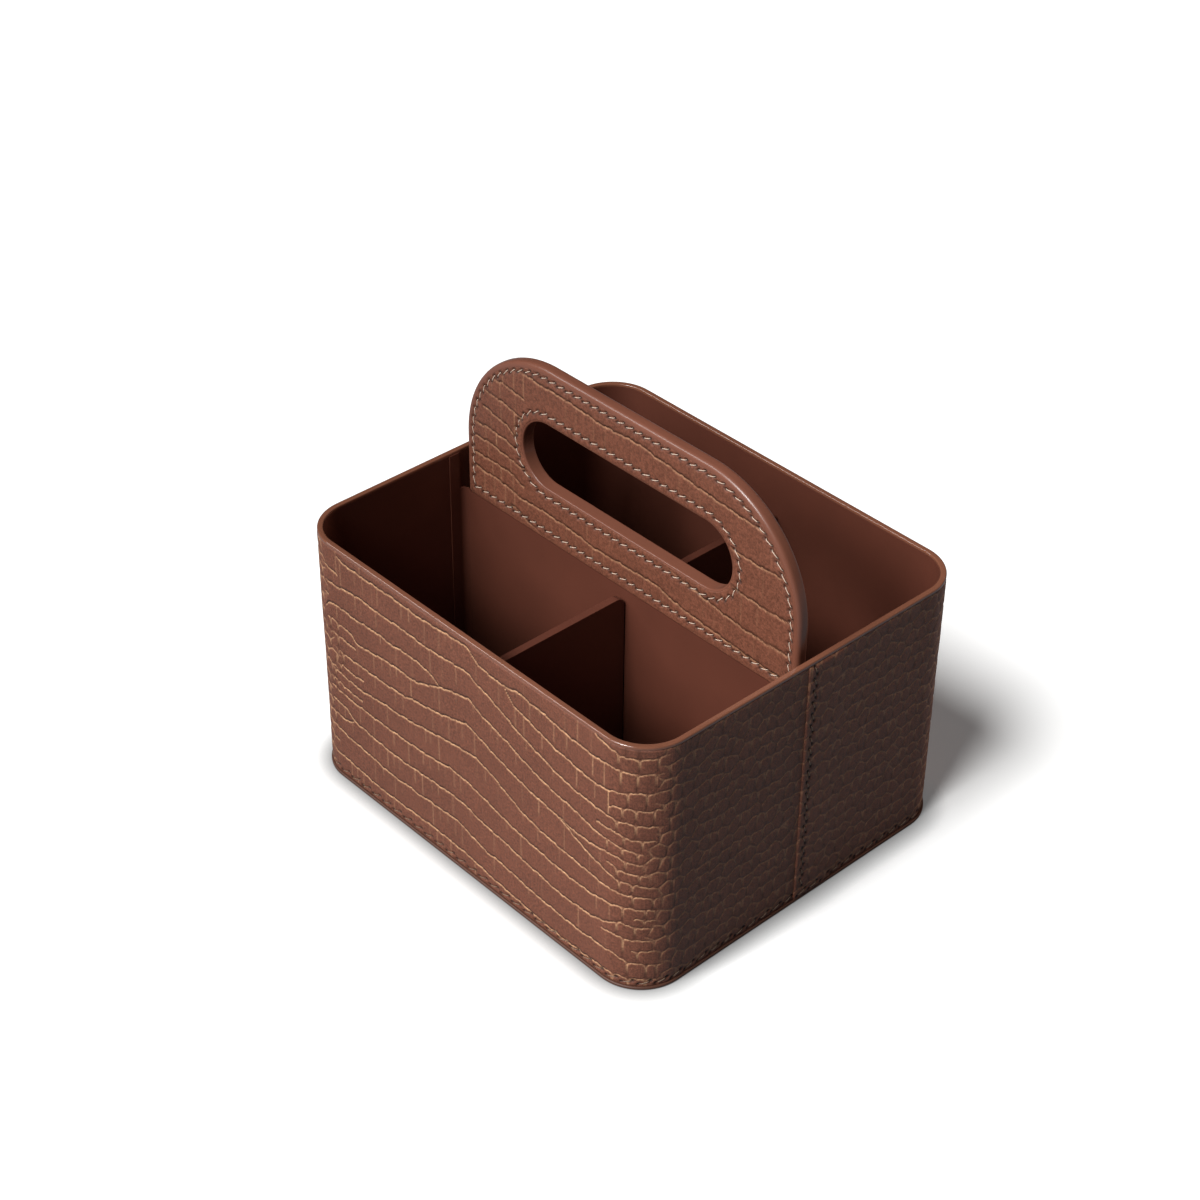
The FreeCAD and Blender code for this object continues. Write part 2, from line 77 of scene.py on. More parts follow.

# Grooves of the embossed wrap, drawn in mm: along the wall from its middle, and height.
# Long rows cross the wall. Near the corners they draw closer and carry rounded scales.
WALL_GROOVES = (
    ((-90, 137.5), (-85, 136), (-78, 135.7), (-60, 136), (-50, 136.3), (-30, 135.7), (-12, 137), (0, 138),
     (6, 137.7), (9, 136), (11, 133), (14, 132), (20, 131.3), (31, 130.5), (34, 131.5), (40, 132.7),
     (47, 131.5), (60, 130.5), (67, 129), (75, 128), (92, 127), (99, 128.2), (107, 127), (127, 127.5)),
    ((90, 140), (97, 138), (104, 136), (110, 135), (116, 135.5), (122, 136.5), (127, 137)),
    ((31, 130), (33, 127), (36, 124), (40, 122.5), (50, 119.7), (58, 117.5), (65, 115.5), (72, 115),
     (85, 112.7), (98, 113.2), (102, 115), (107, 115.2), (110, 116.3), (116, 116.7), (128, 115.8)),
    ((-105, 129), (-99, 128.8), (-93, 127.5), (-90, 126.5)),
    ((-100, 119.5), (-90, 119.7), (-80, 121.5), (-72, 122), (-60, 121.3), (-40, 122), (-30, 121.3),
     (-20, 121.5), (-5, 122.8), (3, 123.7), (7, 122.8), (10, 121), (15, 119.7), (25, 116.3), (30, 114.2),
     (40, 110), (50, 107), (62, 103.3), (70, 101.3), (80, 100), (98, 99), (110, 98.5), (127, 97)),
    ((99, 105), (103, 107), (108, 106.3), (112, 107.3), (117, 106), (121, 107.3), (127, 106)),
    ((-101, 112), (-98, 111.6)),
    ((-101, 104), (-97, 107.3), (-90, 108.3), (-80, 107.3), (-60, 108.7), (-50, 107.8), (-40, 109),
     (-30, 108.5), (-22, 107.5), (-18, 105), (-16, 103.3)),
    ((-100, 98), (-93, 97.7), (-85, 97), (-80, 95.5), (-78, 92.7), (-70, 93.5), (-60, 95), (-50, 96),
     (-32, 95.8), (-27, 98.5), (-20, 101), (-15, 103.5), (-10, 105), (-3, 106.5), (2, 108), (6, 108.7),
     (10, 106.3), (17, 103.5), (25, 101.5), (32, 99.7), (40, 96.7), (50, 93.5), (60, 90.8), (70, 89.3),
     (80, 88.3), (85, 86.5), (92, 85.5), (100, 85.2), (107, 83.7), (113, 82), (127, 81.5)),
    ((91, 91.5), (96, 92.3), (100, 92), (106, 91), (110, 89.7), (127, 89)),
    ((-104, 91), (-98, 90.5), (-88, 89.5), (-79, 89)),
    ((-105, 84.5), (-95, 82.5), (-90, 80.5), (-80, 80.7), (-60, 80.8), (-43, 82), (-35, 84), (-25, 85.3),
     (-15, 87.5), (-8, 89.5), (0, 91.8), (5, 92.7), (10, 91), (15, 89.3), (22, 87), (30, 84.5), (40, 82),
     (50, 80), (60, 78.7), (70, 77), (80, 76), (94, 77), (98, 78.3), (104, 77.7), (108, 76), (115, 75.8),
     (130, 72.3)),
    ((98, 72.5), (103, 71.8), (106, 70), (112, 69.3), (118, 69.5), (130, 66)),
    ((66, 77.5), (72, 75.5), (78, 72.5), (83, 70.5), (90, 68.7), (101, 65.5), (106, 63.7), (112, 63.7),
     (127, 60)),
    ((-100, 73), (-92, 73), (-84, 72), (-74, 72.3)),
    ((-100, 68.5), (-94, 67.5), (-88, 66.5), (-77, 65.5), (-68, 66.5), (-60, 67.7), (-50, 68), (-40, 69),
     (-30, 70.7), (-20, 72.3), (-12, 74), (0, 75.5), (7, 76.5), (13, 75.5), (20, 73.5), (27, 70.5),
     (35, 67), (42, 64), (50, 62.3), (60, 60.7), (70, 59.5), (90, 58), (106, 57), (128, 55)),
    ((-100, 62.5), (-95, 61.5), (-88, 60), (-82, 59), (-76, 59.5)),
    ((-104, 55.5), (-98, 56.3), (-92, 55.3), (-85, 54.3), (-65, 54), (-45, 54.5), (-25, 56), (-17, 57),
     (-9, 58.5), (0, 58), (7, 57), (13, 55.5), (20, 54), (28, 52), (42, 49.5), (60, 47.5), (70, 46.7),
     (80, 46.3), (90, 46.7), (96, 48.3), (102, 48.7), (110, 49.3), (127, 48)),
    ((112, 43), (118, 42.7), (127, 42)),
    ((-100, 48.5), (-90, 47), (-86, 44.5), (-82, 42), (-75, 41.7), (-68, 40.7), (-55, 40), (-45, 40),
     (-25, 41.7), (-5, 42.7), (2, 42), (8, 40.5), (15, 39), (25, 38), (33, 37), (40, 35.3), (50, 34.3),
     (60, 33), (68, 32), (78, 32.5), (88, 33), (98, 36), (104, 39.5), (110, 38.7), (127, 36.5)),
    ((-100, 40), (-93, 38.7), (-88, 39.5), (-84, 41.3)),
    ((95, 31), (105, 30.8), (112, 30), (128, 30)),
    ((111, 23.5), (118, 23.5), (127, 23)),
    ((-104, 32), (-98, 30.7), (-90, 29), (-80, 28.3), (-70, 27.5), (-63, 26.3), (-52, 25.7), (-42, 26.7),
     (-33, 26.3), (-25, 27.7), (-15, 27.7), (-8, 28.8), (0, 27), (7, 25), (13, 23.5), (17, 22.7), (23, 23),
     (30, 22.3), (48, 19.7), (60, 19), (80, 18.3), (90, 19), (102, 19.3), (110, 16), (127, 14.5)),
    ((-101, 23), (-97, 22)),
    ((-104, 14.5), (-90, 13.2), (-82, 12.5), (-65, 10.8), (-45, 11.3), (-25, 12.3), (-15, 12.3), (3, 11.3),
     (18, 9), (32, 7.8), (50, 6), (66, 5), (100, 6.5), (127, 6)),
)

# Grooves of the handle's facing: along the handle from its middle, and height, in mm.
HANDLE_GROOVES = (
    ((-84, 203.5), (-76, 205.5), (-68, 206.3), (-60, 205.2), (-45, 205.5), (-30, 204.5), (-15, 203.2),
     (0, 204.2), (12, 204.7), (20, 203.2), (30, 202.5), (40, 201.2), (55, 199.7), (70, 198.5), (92, 197)),
    ((-95, 193.3), (-85, 194), (-75, 193), (-69, 191.5)),
    ((-98, 184.3), (-88, 183.7), (-78, 182.2), (-71, 180.2)),
    ((-100, 175.2), (-90, 173.2), (-82, 171.7), (-77, 169), (-74, 165.5)),
    ((-106, 163.2), (-95, 164), (-84, 163), (-76, 161)),
    ((-109, 155.2), (-95, 155.7), (-85, 154.2), (-77, 153.2), (-66, 151.2), (-58, 150.2)),
    ((-110, 145.2), (-95, 145.7), (-80, 145.7), (-74, 143.2), (-70, 142)),
    ((-110, 138.2), (-98, 136.8), (-90, 137.2), (-80, 135.7), (-70, 134.2), (-58, 135.2), (-35, 134.2),
     (-20, 132.2), (10, 133.2), (20, 133.7), (28, 132.7), (33, 130.7), (40, 129.7), (55, 128.2),
     (111, 124.5)),
    ((-80, 127), (-75, 126.5), (-68, 123.2), (-60, 121.2), (-48, 120.5)),
    ((69, 178.7), (85, 178.2), (95, 178.7), (105, 179.5)),
    ((68, 158.7), (85, 157.7), (95, 157.2), (111, 158.2)),
    ((28, 147.5), (45, 144.2), (55, 142.7), (65, 141.2), (80, 139.7), (95, 139.5), (111, 140.2)),
)


def linear(code):
    """Linear colour of an sRGB hex value."""
    shares = [int(code[i:i + 2], 16) / 255 for i in (1, 3, 5)]
    return tuple(c / 12.92 if c <= 0.04045 else ((c + 0.055) / 1.055) ** 2.4 for c in shares)


def length(name, description, size):
    """A length that a user may change, its default given in mm."""
    return bpy.props.FloatProperty(
        name=name, description=description, default=size * MM, precision=5, unit="LENGTH")


def angle(name, description, degrees):
    """An angle that a user may change, its default given in degrees."""
    return bpy.props.FloatProperty(
        name=name, description=description, default=math.radians(degrees), subtype="ANGLE")


def amount(name, description, default):
    """A share, a strength or a power that a user may change."""
    return bpy.props.FloatProperty(name=name, description=description, default=default, precision=3)


def target(name, description, *sizes):
    """A place that a user may change, its default given in mm."""
    return bpy.props.FloatVectorProperty(
        name=name, description=description, default=tuple(size * MM for size in sizes), size=3, precision=4,
        subtype="TRANSLATION")


def colour(name, description, code):
    """A colour that a user may change."""
    return bpy.props.FloatVectorProperty(
        name=name, description=description, default=linear(code), size=3, min=0, max=1, subtype="COLOR")


class CaddyShape(bpy.types.PropertyGroup):
    """Sizes of the leather's relief, its edges and the thread."""

    corner_radius: length("Corner radius", "Outside radius of the box's upright corners", 24)
    shoulder_radius: length("Shoulder radius", "Radius of the handle's board at its shoulders", 58)
    lining_thickness: length("Lining thickness", "Thickness of the leather inside the walls", 0.6)
    slot_thickness: length("Slot lining thickness", "Thickness of the leather inside the hand slot", 1)
    mesh_rise: length("Mesh rise", "Spacing of the embossed wraps' mesh, upwards", 0.36)
    mesh_long: length("Mesh on the long walls", "Spacing of that mesh along the long walls", 0.8)
    mesh_scaled: length("Mesh on the scales", "Spacing of that mesh at the corners and ends", 0.45)
    scaled_from: length("Finer mesh from", "Distance from a wall's middle to the start of the finer mesh", 62)
    groove_depth: length("Groove depth", "Depth of the embossed grooves", 0.27)
    groove_steep: length("Groove's steep side", "Reach of a groove's upper side", 0.5)
    groove_gentle: length("Groove's gentle side", "Reach of a groove's lower side", 0.8)
    scale_width: length("Scale width", "Width of the scales at the corners", 8.6)
    scale_round: length("Scale rounding", "Rounding of the scales' corners", 2.1)
    cell_width: length("End scale width", "Width of the scales on the ends", 7)
    cell_height: length("End scale height", "Height of the scales on the ends", 7.8)
    cell_round: length("End scale rounding", "Rounding of the corners of the scales on the ends", 0.25)
    left_scales: amount("Left scales", "Size of the scales at the front's left corner, as a share", 0.64)
    scale_dome: length("Scale dome", "How far a scale's middle stands above its edge", 0.12)
    crease_depth: length("Crease depth", "Depth of the faint creases across the long rows", 0.14)
    crease_width: length("Crease width", "Reach of a crease to each side", 0.36)
    seam_lap: length("Seam lap", "How far the rear wrap passes the middle of an end", 3)
    lap_tuck: length("Lap tuck", "How far the front wrap runs on under the lap", 2)
    lap_flat: length("Lap flat", "Width of the rear wrap that lies flat on the lap", 15)
    lap_ramp: length("Lap ramp", "Width over which the rear wrap rises to the lap", 14)
    lap_round: length("Lap rounding", "Rounding of the folded edge at the end seams", 0.8)
    rim_outer_round: length("Rim rounding outside", "Rounding of the rim's outer edge", 0.9)
    rim_inner_round: length("Rim rounding inside", "Rounding of the rim's inner edge", 0.7)
    rim_foot_round: length("Rim foot rounding", "Rounding of the lower edges of the rim's leather", 0.2)
    edge_round: length("Handle edge rounding", "Rounding of the leather round the handle's edge", 2.9)
    slot_round: length("Slot rounding", "Rounding of the hand slot's edges", 0.95)
    divider_round: length("Divider rounding", "Rounding of the dividers' edges", 0.7)
    facing_puff: length("Facing puff", "How far the handle's facing swells between its seams", 0.25)
    thread_radius: length("Thread radius", "Half the thickness of the sewing thread", 0.22)
    thread_rise: length("Thread rise", "Height of the thread's middle line above the leather", 0.12)
    upright_sink: length("Upright sink", "How much deeper a stitch of an upright row is pulled", 0.2)
    thread_sink: length("Thread sink", "Depth at which the thread enters its holes", 0.55)
    thread_slant: angle("Thread slant", "Turn of each stitch against its row", 19)
    handle_thread_show: amount("Handle thread shown", "Share of a handle stitch on the leather", 0.98)
    box_thread_show: amount("Box thread shown", "Share of a seam or base stitch on the leather", 0.75)
    hole_radius: length("Hole radius", "Reach of a needle hole", 0.78)
    hole_depth: length("Hole depth", "Depth of a needle hole", 0.7)
    seam_dent: length("Seam dent", "How far a stitch pulls the leather in", 0.2)


class CaddyColours(bpy.types.PropertyGroup):
    """Colours of the leathers, the thread, the board and the floor."""

    embossed: colour("Embossed leather", "Face of the embossed leather", "#7F4D3A")
    # Tan of the rubbed groove edges, which also serves as the painted highlight on the side of a groove that
    # faces up.
    groove: colour("Groove", "Rubbed, lighter leather in the grooves", "#F0BA8C")
    # Painted shade inside the needle holes.
    hole: colour("Needle hole", "Inside of the needle holes", "#160C09")
    rim: colour("Rim leather", "Plain leather on the rim", "#855541")
    smooth: colour("Smooth leather", "Plain leather on the handle's edge and the slot", "#7E4E3D")
    base: colour("Base leather", "Sheet under the base", "#5C3B2E")
    lining: colour("Lining leather", "Plain leather inside the box", "#613426")
    thread: colour("Thread", "Sewing thread on the handle", "#E8CFBA")
    # The same thread as on the handle, painted darker as shade where it lies round the base and at the ends.
    dark_thread: colour("Dark thread", "Sewing thread round the base and at the ends", "#937A66")
    board: colour("Board", "Stiff board inside the leather", "#A08A6B")
    floor: colour("Floor", "Studio floor", "#F6F6F5")
    bounce: colour("Floor bounce", "Studio floor as the caddy sees it", "#6C747A")


class CaddyStage(bpy.types.PropertyGroup):
    """Camera, light and floor. Turns are from the front towards +X, and heights are above the horizon."""

    camera_azimuth: angle("Camera azimuth", "Turn of the view", 47.135)
    camera_elevation: angle("Camera elevation", "Height of the view", 36.232)
    camera_roll: angle("Camera roll", "Tilt of the picture", 0.522)
    camera_distance: length("Camera distance", "Camera to the point it looks at", 1252.5)
    camera_lens: amount("Lens", "Focal length, in mm", 74.79)
    camera_sensor: amount("Sensor", "Width of the sensor, in mm", 36)
    camera_target: target("Target", "Point in the middle of the picture", -47.2, 26, 72)
    key_azimuth: angle("Key azimuth", "Turn of the key light", -4)
    key_elevation: angle("Key elevation", "Height of the key light and the accent light", 43)
    key_spread: angle("Key spread", "Angle that the key light fills, which softens its shadows", 38)
    key_strength: amount("Key strength", "Strength of the key light", 2.5)
    floor_azimuth: angle("Floor light azimuth", "Turn of the floor's own light", -2)
    floor_elevation: angle("Floor light elevation", "Height of the floor's own light", 55)
    floor_spread: angle("Floor light spread", "Angle that the floor's own light fills", 26)
    floor_strength: amount("Floor light strength", "Strength of the floor's own light", 4.9)
    edge_azimuth: angle("Edge light azimuth", "Turn of the small light that draws the rim's edge", -45)
    edge_elevation: angle("Edge light elevation", "Height of the small light", 36)
    edge_spread: angle("Edge light spread", "Angle that the small light fills", 20)
    edge_strength: amount("Edge light strength", "Strength of the small light", 0.7)
    back_azimuth: angle("Back light azimuth", "Turn of the light behind", 180)
    back_elevation: angle("Back light elevation", "Height of the light behind", 14)
    back_spread: angle("Back light spread", "Angle that the light behind fills", 20)
    back_strength: amount("Back light strength", "Strength of the light behind", 1.5)
    accent_azimuth: angle("Accent azimuth", "Turn of the accent light", -3)
    accent_target: target("Accent target", "Middle of the accent light's pool", 150, -40, 115)
    accent_distance: length("Accent distance", "Accent light to the middle of its pool", 1500)
    accent_radius: length("Accent radius", "Radius of the accent lamp, which softens its shadows", 300)
    accent_width: angle("Accent width", "Angle of the accent light's cone", 18)
    accent_power: amount("Accent power", "Power of the accent light, in watts", 138)
    floor_size: length("Floor size", "Side of the studio floor", 12000)
    floor_glow: amount("Floor glow", "Light that lifts the floor's shadow in the camera's view", 0.13)
    # Reach and power of the painted contact shadow on the floor.
    contact_reach: length("Contact reach", "Distance within which the floor darkens near the caddy", 14)
    contact_power: amount("Contact power", "How fast the floor darkens near the caddy", 2.2)
    room_light: amount("Room light", "Strength of the light from all round", 0.002)


def shape():
    return bpy.context.scene.caddy_shape


def colours():
    return bpy.context.scene.caddy_colours


def stage():
    return bpy.context.scene.caddy_stage


# Meshes


def grid_faces(rows, columns, ring=False, loop=False):
    """Quads of a grid of points stored row by row; ring closes the columns, loop closes the rows."""
    row = np.arange(rows if loop else rows - 1)
    column = np.arange(columns if ring else columns - 1)
    low = row[:, None] * columns
    high = (row[:, None] + 1) % rows * columns
    near, far = column[None, :], (column[None, :] + 1) % columns
    return np.stack([low + near, low + far, high + far, high + near], -1).reshape(-1, 4)


def tube_faces(rows, columns):
    """Faces of a tube of rings of points, with both its ends closed."""
    ring = np.arange(columns)
    return [*grid_faces(rows, columns, ring=True), ring, ring[::-1] + (rows - 1) * columns]


def new_piece(name, points, faces, material, node):
    """Closed, smooth-shaded piece that rides on the body and stands for a CAD node."""
    mesh = bpy.data.meshes.new(name)
    corners = [[int(i) for i in face] for face in faces]
    mesh.from_pydata(np.asarray(points, float).reshape(-1, 3).tolist(), [], corners)
    mesh.validate()
    mesh.polygons.foreach_set("use_smooth", [True] * len(mesh.polygons))
    mesh.materials.append(material)
    made = bmesh.new()
    made.from_mesh(mesh)
    bmesh.ops.recalc_face_normals(made, faces=made.faces)
    made.to_mesh(mesh)
    made.free()
    piece = bpy.data.objects.new(name, mesh)
    bpy.context.scene.collection.objects.link(piece)
    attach(piece, BODY)
    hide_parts(node)
    return piece


def paint_leather(piece, *shares):
    """Keep the shares of an embossed piece: rubbed tan with painted highlight, dye with painted shade, and
    needle holes painted near black as shade; its two back rows have none.
    """
    for name, values in zip(SHARES, shares):
        layer = piece.data.attributes.new(name, "FLOAT", "POINT")
        back = np.zeros((2, values.shape[1]))
        layer.data.foreach_set("value", np.concatenate([values, back]).astype(np.float32).ravel())


def wall_outline(along):
    """Places and outward ways on the box's outline, measured from the middle of the front wall."""
    low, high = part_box("front_outer_wrap")
    radius = shape().corner_radius
    straight = high.x - radius
    reach = np.abs(along)
    turn = np.clip((reach - straight) / radius, 0, math.pi / 2)
    past = np.maximum(reach - straight - radius * math.pi / 2, 0)
    side = np.where(along < 0, -1, 1)
    x = side * (np.minimum(reach, straight) + radius * np.sin(turn))
    y = low.y + radius * (1 - np.cos(turn)) + past
    return np.stack([x, y, 0 * x], -1), np.stack([side * np.sin(turn), -np.cos(turn), 0 * x], -1)


def half_round():
    """Length of the outline from the middle of the front wall to the middle of an end."""
    low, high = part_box("front_outer_wrap")
    radius = shape().corner_radius
    return high.x - radius + radius * math.pi / 2 - low.y - radius


def sweep(places, outs, side, profile, closed):
    """Points and faces of a profile carried along a path; side is the way of its second measure."""
    profile = np.asarray(profile, float)
    points = places[:, None, :] + outs[:, None, :] * profile[None, :, :1]
    points = points + np.array(side) * profile[None, :, 1:]
    rows, columns = points.shape[:2]
    faces = grid_faces(rows, columns, ring=True, loop=True) if closed else tube_faces(rows, columns)
    return points, faces


def rounded(points, radius, steps=6):
    """Closed outline whose corners are cut back and rounded where a radius is given."""
    made = []
    count = len(points)
    for i, (point, reach) in enumerate(zip(points, radius)):
        here = np.array(point, float)
        if not reach:
            made.append(here)
            continue
        before = np.array(points[i - 1], float) - here
        after = np.array(points[(i + 1) % count], float) - here
        start = here + before / np.linalg.norm(before) * reach
        end = here + after / np.linalg.norm(after) * reach
        for k in range(steps + 1):
            t = k / steps
            # A quadratic curve that leaves and arrives along the two sides.
            made.append(start * (1 - t) ** 2 + here * 2 * t * (1 - t) + end * t ** 2)
    return np.array(made)


# Relief of the embossed leather, in mm


def grow(place, start, width):
    """Share that grows from 0 to 1 over a width from a start."""
    return np.clip((place - start) / width, 0, 1)


def wobble(along, rng, *waves):
    """Uneven wave along a line; each wave is a length and a height."""
    total = 0 * along
    for span, height in waves:
        total = total + height * np.sin(along / span * 2 * math.pi + rng.uniform(0, 2 * math.pi))
    return total


def groove_course(groove, along, rng):
    """Height of one groove at places along the leather, its strength, and where it runs at all."""
    step, soften = 0.5, 9
    spots = np.arange(groove[0][0], groove[-1][0] + step, step)
    heights = np.interp(spots, [p[0] for p in groove], [p[1] for p in groove])
    if len(spots) > soften:
        padded = np.pad(heights, soften // 2, mode="reflect", reflect_type="odd")
        heights = np.convolve(padded, np.ones(soften) / soften, mode="valid")
    heights = heights + wobble(spots, rng, (2.3, 0.1), (3.9, 0.14), (6.7, 0.18), (13, 0.2))
    strength = 0.86 + wobble(spots, rng, (5.1, 0.1), (17, 0.14))
    runs = (along >= spots[0]) & (along <= spots[-1])
    return np.interp(along, spots, heights), np.interp(along, spots, strength), runs


def scale_cells(u, v, rng):
    """Distance to the edge of the nearest of many uneven scales, and how high on it a place lies."""
    s = shape()
    wide, tall, soft = s.cell_width / MM, s.cell_height / MM, s.cell_round / MM
    # The scales' shifts repeat after this many, which is more than an end holds.
    many = 64
    shift = rng.uniform(-0.3, 0.3, (many, many, 2))
    row = np.floor(v / tall).astype(int)
    gaps, heights = [], []
    for r in (row - 1, row, row + 1):
        half = r % 2 / 2
        column = np.floor(u / wide - half).astype(int)
        for c in (column - 1, column, column + 1):
            moved = shift[r % many, c % many]
            middle_v = (r + 0.5 + moved[..., 1]) * tall
            gaps.append(np.hypot(u - (c + half + 0.5 + moved[..., 0]) * wide, v - middle_v))
            heights.append(v - middle_v)
    gaps, heights = np.stack(gaps), np.stack(heights)
    order = np.argsort(gaps, axis=0)[:3]
    first, second, third = np.take_along_axis(gaps, order, 0)
    high = np.take_along_axis(heights, order[:1], 0)[0] / tall + 0.5
    # Corners are rounded off a little where three scales meet.
    edge = -soft * np.log(np.exp((first - second) / 2 / soft) + np.exp((first - third) / 2 / soft))
    return np.abs(edge), high


def pressed_line(edge, high, strength):
    """Depth of an embossed line, its rubbed tan with painted highlight, and its dye with painted shade.

    A line is steep where the scale above ends and gentle where the one below begins. Rubbed tan shows on the
    gentle side, which faces up towards the light, and is partly a painted highlight. Dye shows on the steep
    side, which faces down, together with painted shade. Each lies in a band at some distance from the line."""
    s = shape()
    rubbed_and_highlit_at, rubbed_and_highlit_reach = 0.4, 0.42
    dye_and_shade_at, dye_and_shade_reach = 0.5, 0.65
    begins = grow(high, 0.3, 0.4)
    reach = (s.groove_steep + (s.groove_gentle - s.groove_steep) * begins) / MM
    groove = np.exp(-(edge / reach) ** 2) * strength
    rubbed = np.exp(-((edge - rubbed_and_highlit_at) / rubbed_and_highlit_reach) ** 2) * strength * begins
    dark = np.exp(-((edge - dye_and_shade_at) / dye_and_shade_reach) ** 2) * strength * (1 - begins)
    return np.stack([groove, rubbed, dark])


def embossing(u, v, grooves, scaled, seed):
    """Height of the embossed leather, its rubbed tan with painted highlight, and its dye with painted shade
    at places (u, v).

    scaled gives, for places and a row's chance, how far the row breaks up into scales, how far the rows are
    lost, the size of a row's scales, how strong the creases are, and how strong the rubbed tan and painted
    highlight are on the lines."""
    rng = np.random.default_rng(seed)
    s = shape()
    # Distances that mean no line at hand, and the least that may be divided by.
    far, no_cross, least = 60.0, 6, 0.01
    over, under = np.full(u.shape, far), np.full(u.shape, far)
    over_strength, under_strength = np.ones(u.shape), np.ones(u.shape)
    row = np.zeros(u.shape, int)
    for index, groove in enumerate(grooves, start=1):
        height, strength, runs = groove_course(groove, u, rng)
        gap = v - height
        nearer = runs & (gap >= 0) & (gap < under)
        under = np.where(nearer, gap, under)
        under_strength = np.where(nearer, strength, under_strength)
        row = np.where(nearer, index, row)
        nearer = runs & (gap < 0) & (-gap < over)
        over = np.where(nearer, -gap, over)
        over_strength = np.where(nearer, strength, over_strength)

    # Cross lines of each row, unevenly spaced.
    rows, most = len(grooves) + 1, 120
    chance = rng.uniform(0, 1, rows)
    start = rng.uniform(0, 1, rows)
    shift = rng.uniform(-0.26, 0.26, (rows, most))
    keep = rng.uniform(0, 1, (rows, most))
    stop = rng.uniform(0.3, 1.2, (rows, most))
    share, cells, size, creased, rubbing_and_highlight = scaled(u, v, chance[row])
    pitch = s.scale_width / MM * size
    place = u / pitch + start[row] + most / 2
    step = np.clip(np.round(place).astype(int), 0, most - 1)
    cross = np.abs(place - step - shift[row, step]) * pitch

    # Near the corners the rows break up into rounded scales; on the ends these lie as they like. Lines among
    # scales are finer, those across a row are weaker, and a small corner between gets little rubbed tan and
    # painted highlight.
    row_fine, cross_strength, corner_tan = 0.45, 0.65, 0.25
    cell_fine, cell_strength = 1.25, 0.68
    level = cross + (1 - share) * no_cross
    beside = np.minimum(over, under)
    bend = np.maximum(share * s.scale_round / MM, least)
    corner = bend - np.hypot(np.maximum(bend - level, 0), np.maximum(bend - beside, 0))
    between = (level < bend) & (beside < bend)
    row_edge = np.where(between, np.abs(corner), np.minimum(level, beside))
    high = under / np.maximum(over + under, least)
    strength = np.where(over < under, over_strength, under_strength)
    strength = np.where(level < beside, cross_strength * share, strength) * (1 - cells)
    cell_edge, cell_high = scale_cells(u, v, rng)
    row_line = pressed_line(row_edge * (1 + row_fine * share), high, strength)
    row_line[1] *= np.where(between & (corner < 0), corner_tan, 1)
    cell_line = pressed_line(cell_edge * cell_fine, cell_high, cell_strength * cells)
    pressed = np.maximum(row_line, cell_line)

    # Creases start at the top of a row and stop somewhere on the way down. A third of them is missing.
    faint = grow(keep[row, step], 1 / 3, 2 / 3) * (1 - share) * creased
    part = grow(high, 1 - stop[row, step] * np.maximum(creased, 1), 1 / 6)
    crease = np.exp(-(cross / (s.crease_width / MM)) ** 2) * faint * part

    # A scale is domed, flatter in a long row, and the hide as a whole swells a little.
    dome_reach, long_dome, scale_more = 1.3, 0.35, 0.4
    row_dome = (1 - np.exp(-row_edge / dome_reach)) * (long_dome + scale_more * share)
    cell_dome = 1 - np.exp(-cell_edge / dome_reach)
    dome = row_dome * (1 - cells) + cell_dome * cells
    swell = wobble(u + 0.4 * v, rng, (31, 0.03), (47, 0.03))
    swell = swell + wobble(v - 0.3 * u, rng, (23, 0.02), (41, 0.03))
    height = (s.scale_dome * dome - s.groove_depth * pressed[0] - s.crease_depth * crease) / MM + swell
    # Creases get less rubbed tan and painted highlight than lines, and less dye and painted shade gathers
    # among scales.
    crease_tan, less_dye_and_shade = 0.4, 0.4
    rubbed = np.clip((pressed[1] + crease_tan * crease) * rubbing_and_highlight, 0, 1)
    dark = np.clip(pressed[2] * (1 - less_dye_and_shade * share) * (1 - less_dye_and_shade * cells), 0, 1)
    return height, rubbed, dark


def stitch_places(node):
    """Middle, own way, outward way and length of each stitch of a CAD node, in metres.

    The stitch's own way is turned a little against its row."""
    made = bmesh.new()
    made.from_mesh(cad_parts[node].data)
    bmesh.ops.remove_doubles(made, verts=made.verts, dist=0.01 * MM)
    left = dict.fromkeys(made.verts)
    found = []
    while left:
        group, edge = [], [next(iter(left))]
        while edge:
            point = edge.pop()
            if point in left:
                del left[point]
                group.append(point)
                edge += [e.other_vert(point) for e in point.link_edges]
        points = np.array([p.co for p in group])
        middle = points.mean(0)
        _, _, ways = np.linalg.svd(points - middle)
        spans = np.ptp((points - middle) @ ways.T, 0)
        along, out = ways[np.argmax(spans)], ways[np.argmin(spans)]
        if out @ (middle * (1, 1, 0)) < 0:
            out = -out
        way = np.array(Matrix.Rotation(shape().thread_slant, 3, Vector(out)) @ Vector(along))
        found.append((middle - out * spans.min() / 2, way, out, spans.max()))
    made.free()
    return found


def sewn(u, v, stitches):
    """Dent of the leather under stitches, and share of needle hole.

    A stitch is its place (u, v), its way in u and v, and its length."""
    s = shape()
    dent, hole = np.zeros(u.shape), np.zeros(u.shape)
    radius = s.hole_radius / MM
    # Reach of a stitch's pull to the side and past its ends, and length of a hole against its width.
    pull_side, pull_past, hole_long = 0.9, 0.5, 1.4
    for place_u, place_v, way_u, way_v, span in stitches:
        near = np.flatnonzero((np.abs(u - place_u) < span) & (np.abs(v - place_v) < span))
        du, dv = u.flat[near] - place_u, v.flat[near] - place_v
        along, across = du * way_u + dv * way_v, dv * way_u - du * way_v
        past = np.abs(along) - span / 2
        pull = np.exp(-(across / pull_side) ** 2 - (np.maximum(past, 0) / pull_past) ** 2)
        dent.flat[near] = np.maximum(dent.flat[near], pull)
        pierced = np.exp(-((past / hole_long) ** 2 + across ** 2) / radius ** 2)
        hole.flat[near] = np.maximum(hole.flat[near], pierced)
    return -s.seam_dent / MM * dent - s.hole_depth / MM * hole, hole


# Materials


